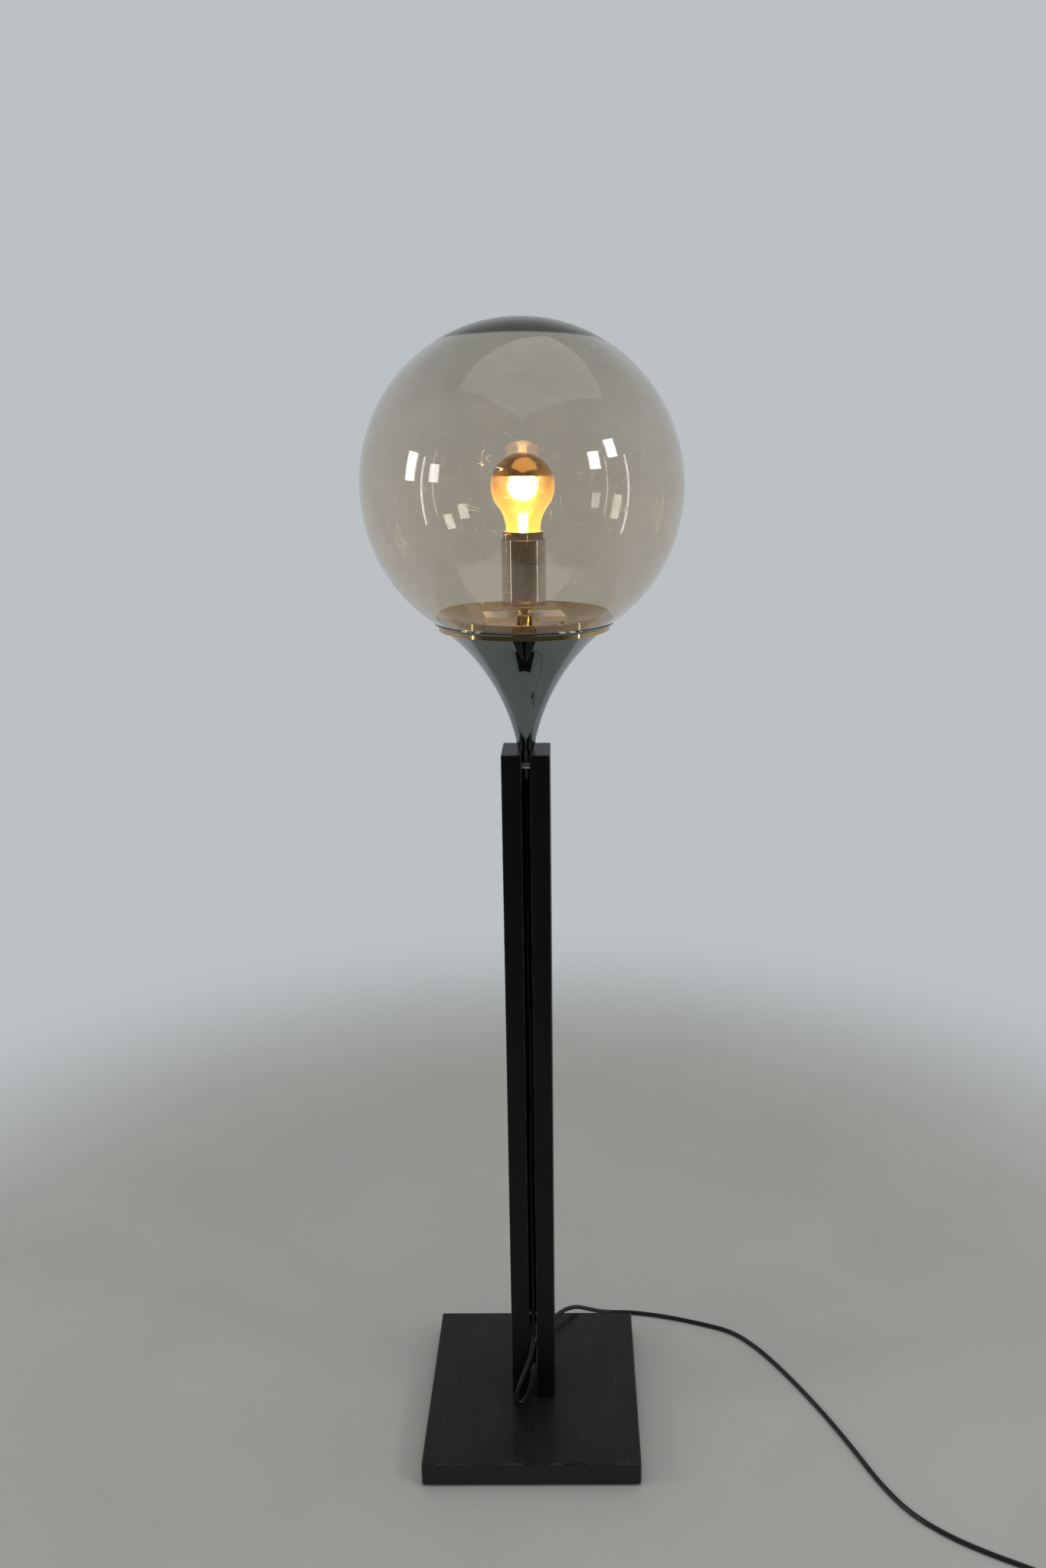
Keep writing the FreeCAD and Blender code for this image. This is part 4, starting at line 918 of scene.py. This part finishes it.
class LAMP_OT_dish(bpy.types.Operator):
    """Spins the reflector dish and finishes the strap and column over it"""

    bl_idname = "lamp.dish"
    bl_label = "Dish and strap"

    def execute(self, context):
        sizes = context.scene.lamp_sizes
        lip = DISH_HIGH.x
        edge = lip - sizes.dish_wall
        edge_z = DISH_HIGH.z - sizes.dish_wall / 2
        under = sizes.dish_press + sizes.dish_wall
        soft = 0.0006

        def bowl(radius):
            ball = sizes.dish_bowl
            return edge_z - math.sqrt(ball**2 - radius**2) + math.sqrt(ball**2 - edge**2)

        def pressed(radius):
            return bowl(radius) - sizes.dish_press

        def run(height, start, end, steps):
            radii = [start + (end - start) * k / steps for k in range(steps + 1)]
            return [(radius, height(radius)) for radius in radii]

        step = sizes.dish_step
        outline = run(pressed, sizes.stem_hole, step - soft, 24)
        outline += [(step - soft / 3, pressed(step) + 0.1 * sizes.dish_press)]
        outline += [(step, (pressed(step) + bowl(step)) / 2)]
        outline += [(step + soft / 3, bowl(step) - 0.1 * sizes.dish_press)]
        outline += run(bowl, step + soft, edge - soft, 20)
        half = sizes.dish_wall / 2
        outline += arc_points((lip - half, edge_z), half, math.pi, 0.0, 12)
        outline += [(lip, DISH_LOW.z), (edge, DISH_LOW.z), (edge, edge_z - under)]
        outline += run(lambda radius: bowl(radius) - under, edge - soft, sizes.stem_hole, 30)
        piece = turned("chrome_dish", outline, closed=True, sharp=70.0)
        place_piece(piece, "lamp", "chrome_dish")
        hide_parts("reflector_dish")
        dress("clamp_strap", "strap_spacer", "socket_coupler", "stem_tube", "cross_nut")
        return {"FINISHED"}


class LAMP_OT_holder(bpy.types.Operator):
    """Makes the lampholder's sleeve and finishes what it holds"""

    bl_idname = "lamp.holder"
    bl_label = "Lampholder"

    def execute(self, context):
        sizes = context.scene.lamp_sizes
        outer = SLEEVE_HIGH.x
        inner = outer - sizes.sleeve_wall
        curve = sizes.sleeve_round
        turn = (outer - curve, SLEEVE_LOW.z + curve)
        edge = 0.0003
        outline = [(sizes.stem_hole, SLEEVE_LOW.z)]
        outline += arc_points(turn, curve, -math.pi / 2, 0.0, 14)
        outline += [(outer, SLEEVE_HIGH.z - edge), (outer - edge, SLEEVE_HIGH.z)]
        outline += [(inner + edge, SLEEVE_HIGH.z), (inner, SLEEVE_HIGH.z - edge)]
        outline += arc_points(turn, curve - sizes.sleeve_wall, 0.0, -math.pi / 2, 14)
        outline += [(sizes.stem_hole, SLEEVE_LOW.z + sizes.sleeve_wall)]
        piece = place_piece(turned("nickel_sleeve", outline, closed=True), "lamp", "nickel_sleeve")
        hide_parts("socket_sleeve")
        dress(
            "socket_locknut", "socket_dome", "socket_insert", "terminal_screws", "contact_spring",
            "socket_thread_shell", "socket_ring", "lead_in_post", "lead_cores",
        )
        return {"FINISHED"}


# Where the bulb's ball ends, its play in the cap, and the crown's film and its gap to the glass.
BULB_SHOULDER = math.radians(-38.0)
CAP_PLAY = 0.00055
CROWN_FILM = 0.00012
CROWN_GAP = 0.00006


def bulb_outline(sizes, shrink):
    """The bulb from its top down to its mouth, drawn in by a shrink."""
    radius = sizes.bulb_radius - shrink
    centre = (0.0, BULB_HIGH.z - sizes.bulb_radius)
    outline = arc_points(centre, radius, math.pi / 2, BULB_SHOULDER, 56)
    outline[0] = (0.0, outline[0][1])
    heading = (math.sin(BULB_SHOULDER), -math.cos(BULB_SHOULDER))
    neck = (sizes.bulb_neck - shrink, NECK_Z)
    outline += tangent_points(outline[-1], heading, neck, 20)[1:]
    mouth = CAP_HIGH.x - CAP_PLAY - shrink
    return outline + [(mouth, CAP_HIGH.z), (mouth, BULB_LOW.z)]


class LAMP_OT_bulb(bpy.types.Operator):
    """Blows the bulb, with its gold crown and glowing filament"""

    bl_idname = "lamp.bulb"
    bl_label = "Bulb"

    def execute(self, context):
        sizes = context.scene.lamp_sizes
        outline = bulb_outline(sizes, 0.0) + bulb_outline(sizes, sizes.bulb_wall)[::-1]
        glass = place_piece(turned("amber_bulb", outline, closed=False), "bulb", "bulb_glass")
        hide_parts("bulb_glass")
        self.crown(sizes)
        self.filament(sizes)
        dress(
            "bulb_mount", "bulb_lead_wires", "bulb_cap", "bulb_cap_insulator", "bulb_contact_tip"
        )
        return {"FINISHED"}

    def crown(self, sizes):
        """A thin mirror inside the top of the glass."""
        radius = sizes.bulb_radius - sizes.bulb_wall - CROWN_GAP
        centre = (0.0, BULB_HIGH.z - sizes.bulb_radius)
        low = math.asin((sizes.bulb_radius - sizes.bulb_crown) / radius)
        outline = arc_points(centre, radius, math.pi / 2, low, 30)
        outline += arc_points(centre, radius - CROWN_FILM, low, math.pi / 2, 30)
        outline[0] = (0.0, outline[0][1])
        outline[-1] = (0.0, outline[-1][1])
        place_piece(turned("gold_crown", outline, closed=False), "bulb", "bulb_glass", "gold_crown")

    def filament(self, sizes):
        """A wire wound into a fine spring, bent into an open loop."""
        middle = BULB_HIGH.z - sizes.bulb_radius
        opening = math.radians(50.0)
        windings = 70
        winding = 0.00034
        steps = windings * 10
        points = []
        for k in range(steps + 1):
            along = -math.pi / 2 + opening / 2 + (2 * math.pi - opening) * k / steps
            spin = 2 * math.pi * windings * k / steps
            radius = sizes.filament_loop + winding * math.cos(spin)
            up = middle + radius * math.sin(along)
            points.append((radius * math.cos(along), winding * math.sin(spin), up))
        wire = smooth_cord("filament_coil", points, 0.00022)
        wire.data.splines[0].resolution_u = 2
        wire.data.bevel_resolution = 2
        place_piece(wire, "bulb", "lit_filament")
        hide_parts("bulb_filament")


class LAMP_OT_post(bpy.types.Operator):
    """Finishes the post, the base and what joins them"""

    bl_idname = "lamp.post"
    bl_label = "Post and base"

    def execute(self, context):
        dress(
            "base_glides", "base_plate", "base_screws", "post_board_right", "post_board_left",
            "post_spine", "lower_cross_dowel",
        )
        return {"FINISHED"}


class LAMP_OT_fittings(bpy.types.Operator):
    """Finishes the switch, the plug and the coil's tie"""

    bl_idname = "lamp.fittings"
    bl_label = "Switch and plug"

    def execute(self, context):
        dress(
            "coil_tie", "switch_base", "switch_cover", "switch_rocker", "rocker_pin",
            "switch_screws", "switch_contacts", "plug_body", "plug_pins",
        )
        for node in ("switch_base", "switch_cover", "plug_body", "switch_rocker"):
            edge = frame["nodes"][node].modifiers.new("worn_edges", "BEVEL")
            edge.width = 0.0003
            edge.segments = 2
            edge.limit_method = "ANGLE"
            edge.angle_limit = math.radians(50.0)
        return {"FINISHED"}


class LAMP_OT_stage(bpy.types.Operator):
    """Sets the lamp on a pale floor in soft studio light"""

    bl_idname = "lamp.stage"
    bl_label = "Stage"

    def execute(self, context):
        self.floor(context)
        self.world(context)
        self.lights(context)
        context.scene.view_settings.view_transform = "Standard"
        return {"FINISHED"}

    def floor(self, context):
        studio = context.scene.lamp_studio
        mesh = bpy.data.meshes.new("studio_floor")
        shape = bmesh.new()
        bmesh.ops.create_circle(shape, cap_ends=True, radius=14.0, segments=96)
        shape.to_mesh(mesh)
        shape.free()
        floor = added("studio_floor", mesh)
        material, nodes, place = new_material("pale_floor")
        tint = tuple(studio.floor)
        cloud = nodes.noise(place, 3.0, detail=6.0)
        speck = nodes.noise(place, 260.0, detail=3.0)
        clouds = nodes.spread(cloud, 0.3, 0.7)
        specks = nodes.spread(speck, 0.55, 0.8, 0.0, 0.25)
        shade = nodes.blend(clouds, dimmed(tint, 0.96), dimmed(tint, 1.03))
        paint = nodes.add("ShaderNodeBsdfPrincipled", {
            "Base Color": nodes.blend(specks, shade, dimmed(tint, 0.85)),
            "Roughness": 0.72,
            "Specular IOR Level": 0.25,
        })
        far = nodes.add("ShaderNodeVectorMath", {0: place}, operation="LENGTH").outputs["Value"]
        mirrored = nodes.add("ShaderNodeLightPath").outputs["Is Glossy Ray"]
        near_edge = nodes.spread(mirrored, 0.0, 1.0, 0.65, 0.85)
        far_edge = nodes.spread(mirrored, 0.0, 1.0, 1.5, 1.05)
        haze = nodes.eased(far, near_edge, far_edge, "SMOOTHERSTEP")
        seen = self.seen(nodes)
        heading = nodes.add("ShaderNodeVectorMath", {0: place}, operation="NORMALIZE").outputs[0]
        backdrop = nodes.add(
            "ShaderNodeEmission", {"Color": self.shown_backdrop(nodes, heading), "Strength": 1.0}
        )
        mixed = nodes.add("ShaderNodeMixShader", {
            0: nodes.maths("MULTIPLY", haze, seen),
            1: paint.outputs[0],
            2: backdrop.outputs[0],
        })
        finish_with(nodes, mixed.outputs[0])
        mesh.materials.append(material)

    def seen(self, nodes):
        """One for rays that show the backdrop: straight, in a reflection or through glass."""
        path = nodes.add("ShaderNodeLightPath").outputs
        mirrored = nodes.maths("MAXIMUM", path["Is Glossy Ray"], path["Is Transmission Ray"])
        return nodes.maths("MAXIMUM", path["Is Camera Ray"], mirrored)

    def shown_backdrop(self, nodes, heading):
        """Pale all round, dim overhead and, in reflections, dim behind the picture's camera."""
        parts = nodes.parts(heading)
        mirrored = nodes.add("ShaderNodeLightPath").outputs["Is Glossy Ray"]
        front = nodes.maths("MULTIPLY", nodes.spread(parts["Y"], 0.1, -0.6, 0.0, 0.95), mirrored)
        overhead = nodes.spread(parts["Z"], 0.45, 0.85, 0.0, 0.85)
        dim = nodes.maths("MAXIMUM", front, overhead)
        pale = tuple(bpy.context.scene.lamp_studio.backdrop)
        return nodes.blend(dim, pale, (0.035, 0.037, 0.035))

    def world(self, context):
        studio = context.scene.lamp_studio
        world = bpy.data.worlds.new("studio")
        context.scene.world = world
        world.use_nodes = True
        world.node_tree.nodes.clear()
        nodes = Nodes(world.node_tree)
        seen = self.seen(nodes)
        heading = nodes.add("ShaderNodeTexCoord").outputs["Generated"]
        shown = self.shown_backdrop(nodes, heading)
        backdrop = nodes.add("ShaderNodeBackground", {"Color": shown, "Strength": 1.0})
        soft = {"Color": (1.0, 0.99, 0.98, 1.0), "Strength": studio.fill}
        fill = nodes.add("ShaderNodeBackground", soft)
        sides = {0: seen, 1: fill.outputs[0], 2: backdrop.outputs[0]}
        mixed = nodes.add("ShaderNodeMixShader", sides)
        nodes.add("ShaderNodeOutputWorld", {"Surface": mixed.outputs[0]})

    def lights(self, context):
        studio = context.scene.lamp_studio
        panes = (
            ("left_pane", (-2.3, -0.45, 1.5), (0.34, 0.6), 1.0),
            ("left_near_pane", (-1.9, -1.15, 1.4), (0.28, 0.4), 0.45),
            ("right_pane", (1.75, -1.35, 1.72), (0.32, 0.42), 0.8),
            ("right_far_pane", (2.05, -0.85, 1.95), (0.32, 0.42), 0.9),
            ("right_strip", (2.2, -0.5, 0.9), (0.04, 1.7), 0.3),
            ("left_strip", (-2.15, -0.85, 1.0), (0.04, 1.5), 0.3),
        )
        for name, place, size, strength in panes:
            self.panel(name, place, size, studio.windows * strength)
        overhead = self.panel("overhead", (0.2, -0.2, 3.0), (2.4, 2.0), studio.ceiling)
        overhead.visible_glossy = False
        data = bpy.data.lights.new("lamp_light", "POINT")
        data.color = context.scene.lamp_colours.filament
        data.energy = studio.lamp_light
        data.shadow_soft_size = 0.0155
        glow = added("lamp_light", data)
        glow.location = (0.0, 0.0, BULB_HIGH.z - context.scene.lamp_sizes.bulb_radius)
        glow.parent = bpy.data.objects["amber_bulb"]

    def panel(self, name, place, size, power):
        """A flat light that faces the lamp."""
        data = bpy.data.lights.new(name, "AREA")
        data.shape = "RECTANGLE"
        data.size, data.size_y = size
        data.energy = power
        panel = added(name, data)
        panel.location = place
        aim = Vector(LIT_PLACE) - Vector(place)
        panel.rotation_euler = aim.to_track_quat("-Z", "Y").to_euler()
        return panel


PIECES = (
    LAMP_OT_camera,
    LAMP_OT_cords,
    LAMP_OT_globe,
    LAMP_OT_trumpet,
    LAMP_OT_dish,
    LAMP_OT_holder,
    LAMP_OT_bulb,
    LAMP_OT_post,
    LAMP_OT_fittings,
    LAMP_OT_stage,
)


class LAMP_PT_panel(bpy.types.Panel):
    """Lists the lamp's pieces and its settings"""

    bl_idname = "LAMP_PT_panel"
    bl_label = "Globe floor lamp"
    bl_space_type = "VIEW_3D"
    bl_region_type = "UI"
    bl_category = "Floor lamp"

    def draw(self, context):
        column = self.layout.column(align=True)
        for piece in PIECES:
            column.operator(piece.bl_idname)
        scene = context.scene
        for settings in (scene.lamp_sizes, scene.lamp_colours, scene.lamp_studio):
            box = self.layout.box()
            for name in settings.__annotations__:
                box.prop(settings, name)


CLASSES = (LampSizes, LampColours, StudioSettings, *PIECES, LAMP_PT_panel)


def register():
    for item in CLASSES:
        bpy.utils.register_class(item)
    bpy.types.Scene.lamp_sizes = PointerProperty(type=LampSizes)
    bpy.types.Scene.lamp_colours = PointerProperty(type=LampColours)
    bpy.types.Scene.lamp_studio = PointerProperty(type=StudioSettings)


def unregister():
    del bpy.types.Scene.lamp_studio
    del bpy.types.Scene.lamp_colours
    del bpy.types.Scene.lamp_sizes
    for item in reversed(CLASSES):
        bpy.utils.unregister_class(item)


def main():
    register()
    for piece in PIECES:
        group, name = piece.bl_idname.split(".")
        getattr(getattr(bpy.ops, group), name)()


if __name__ == "__main__":
    main()
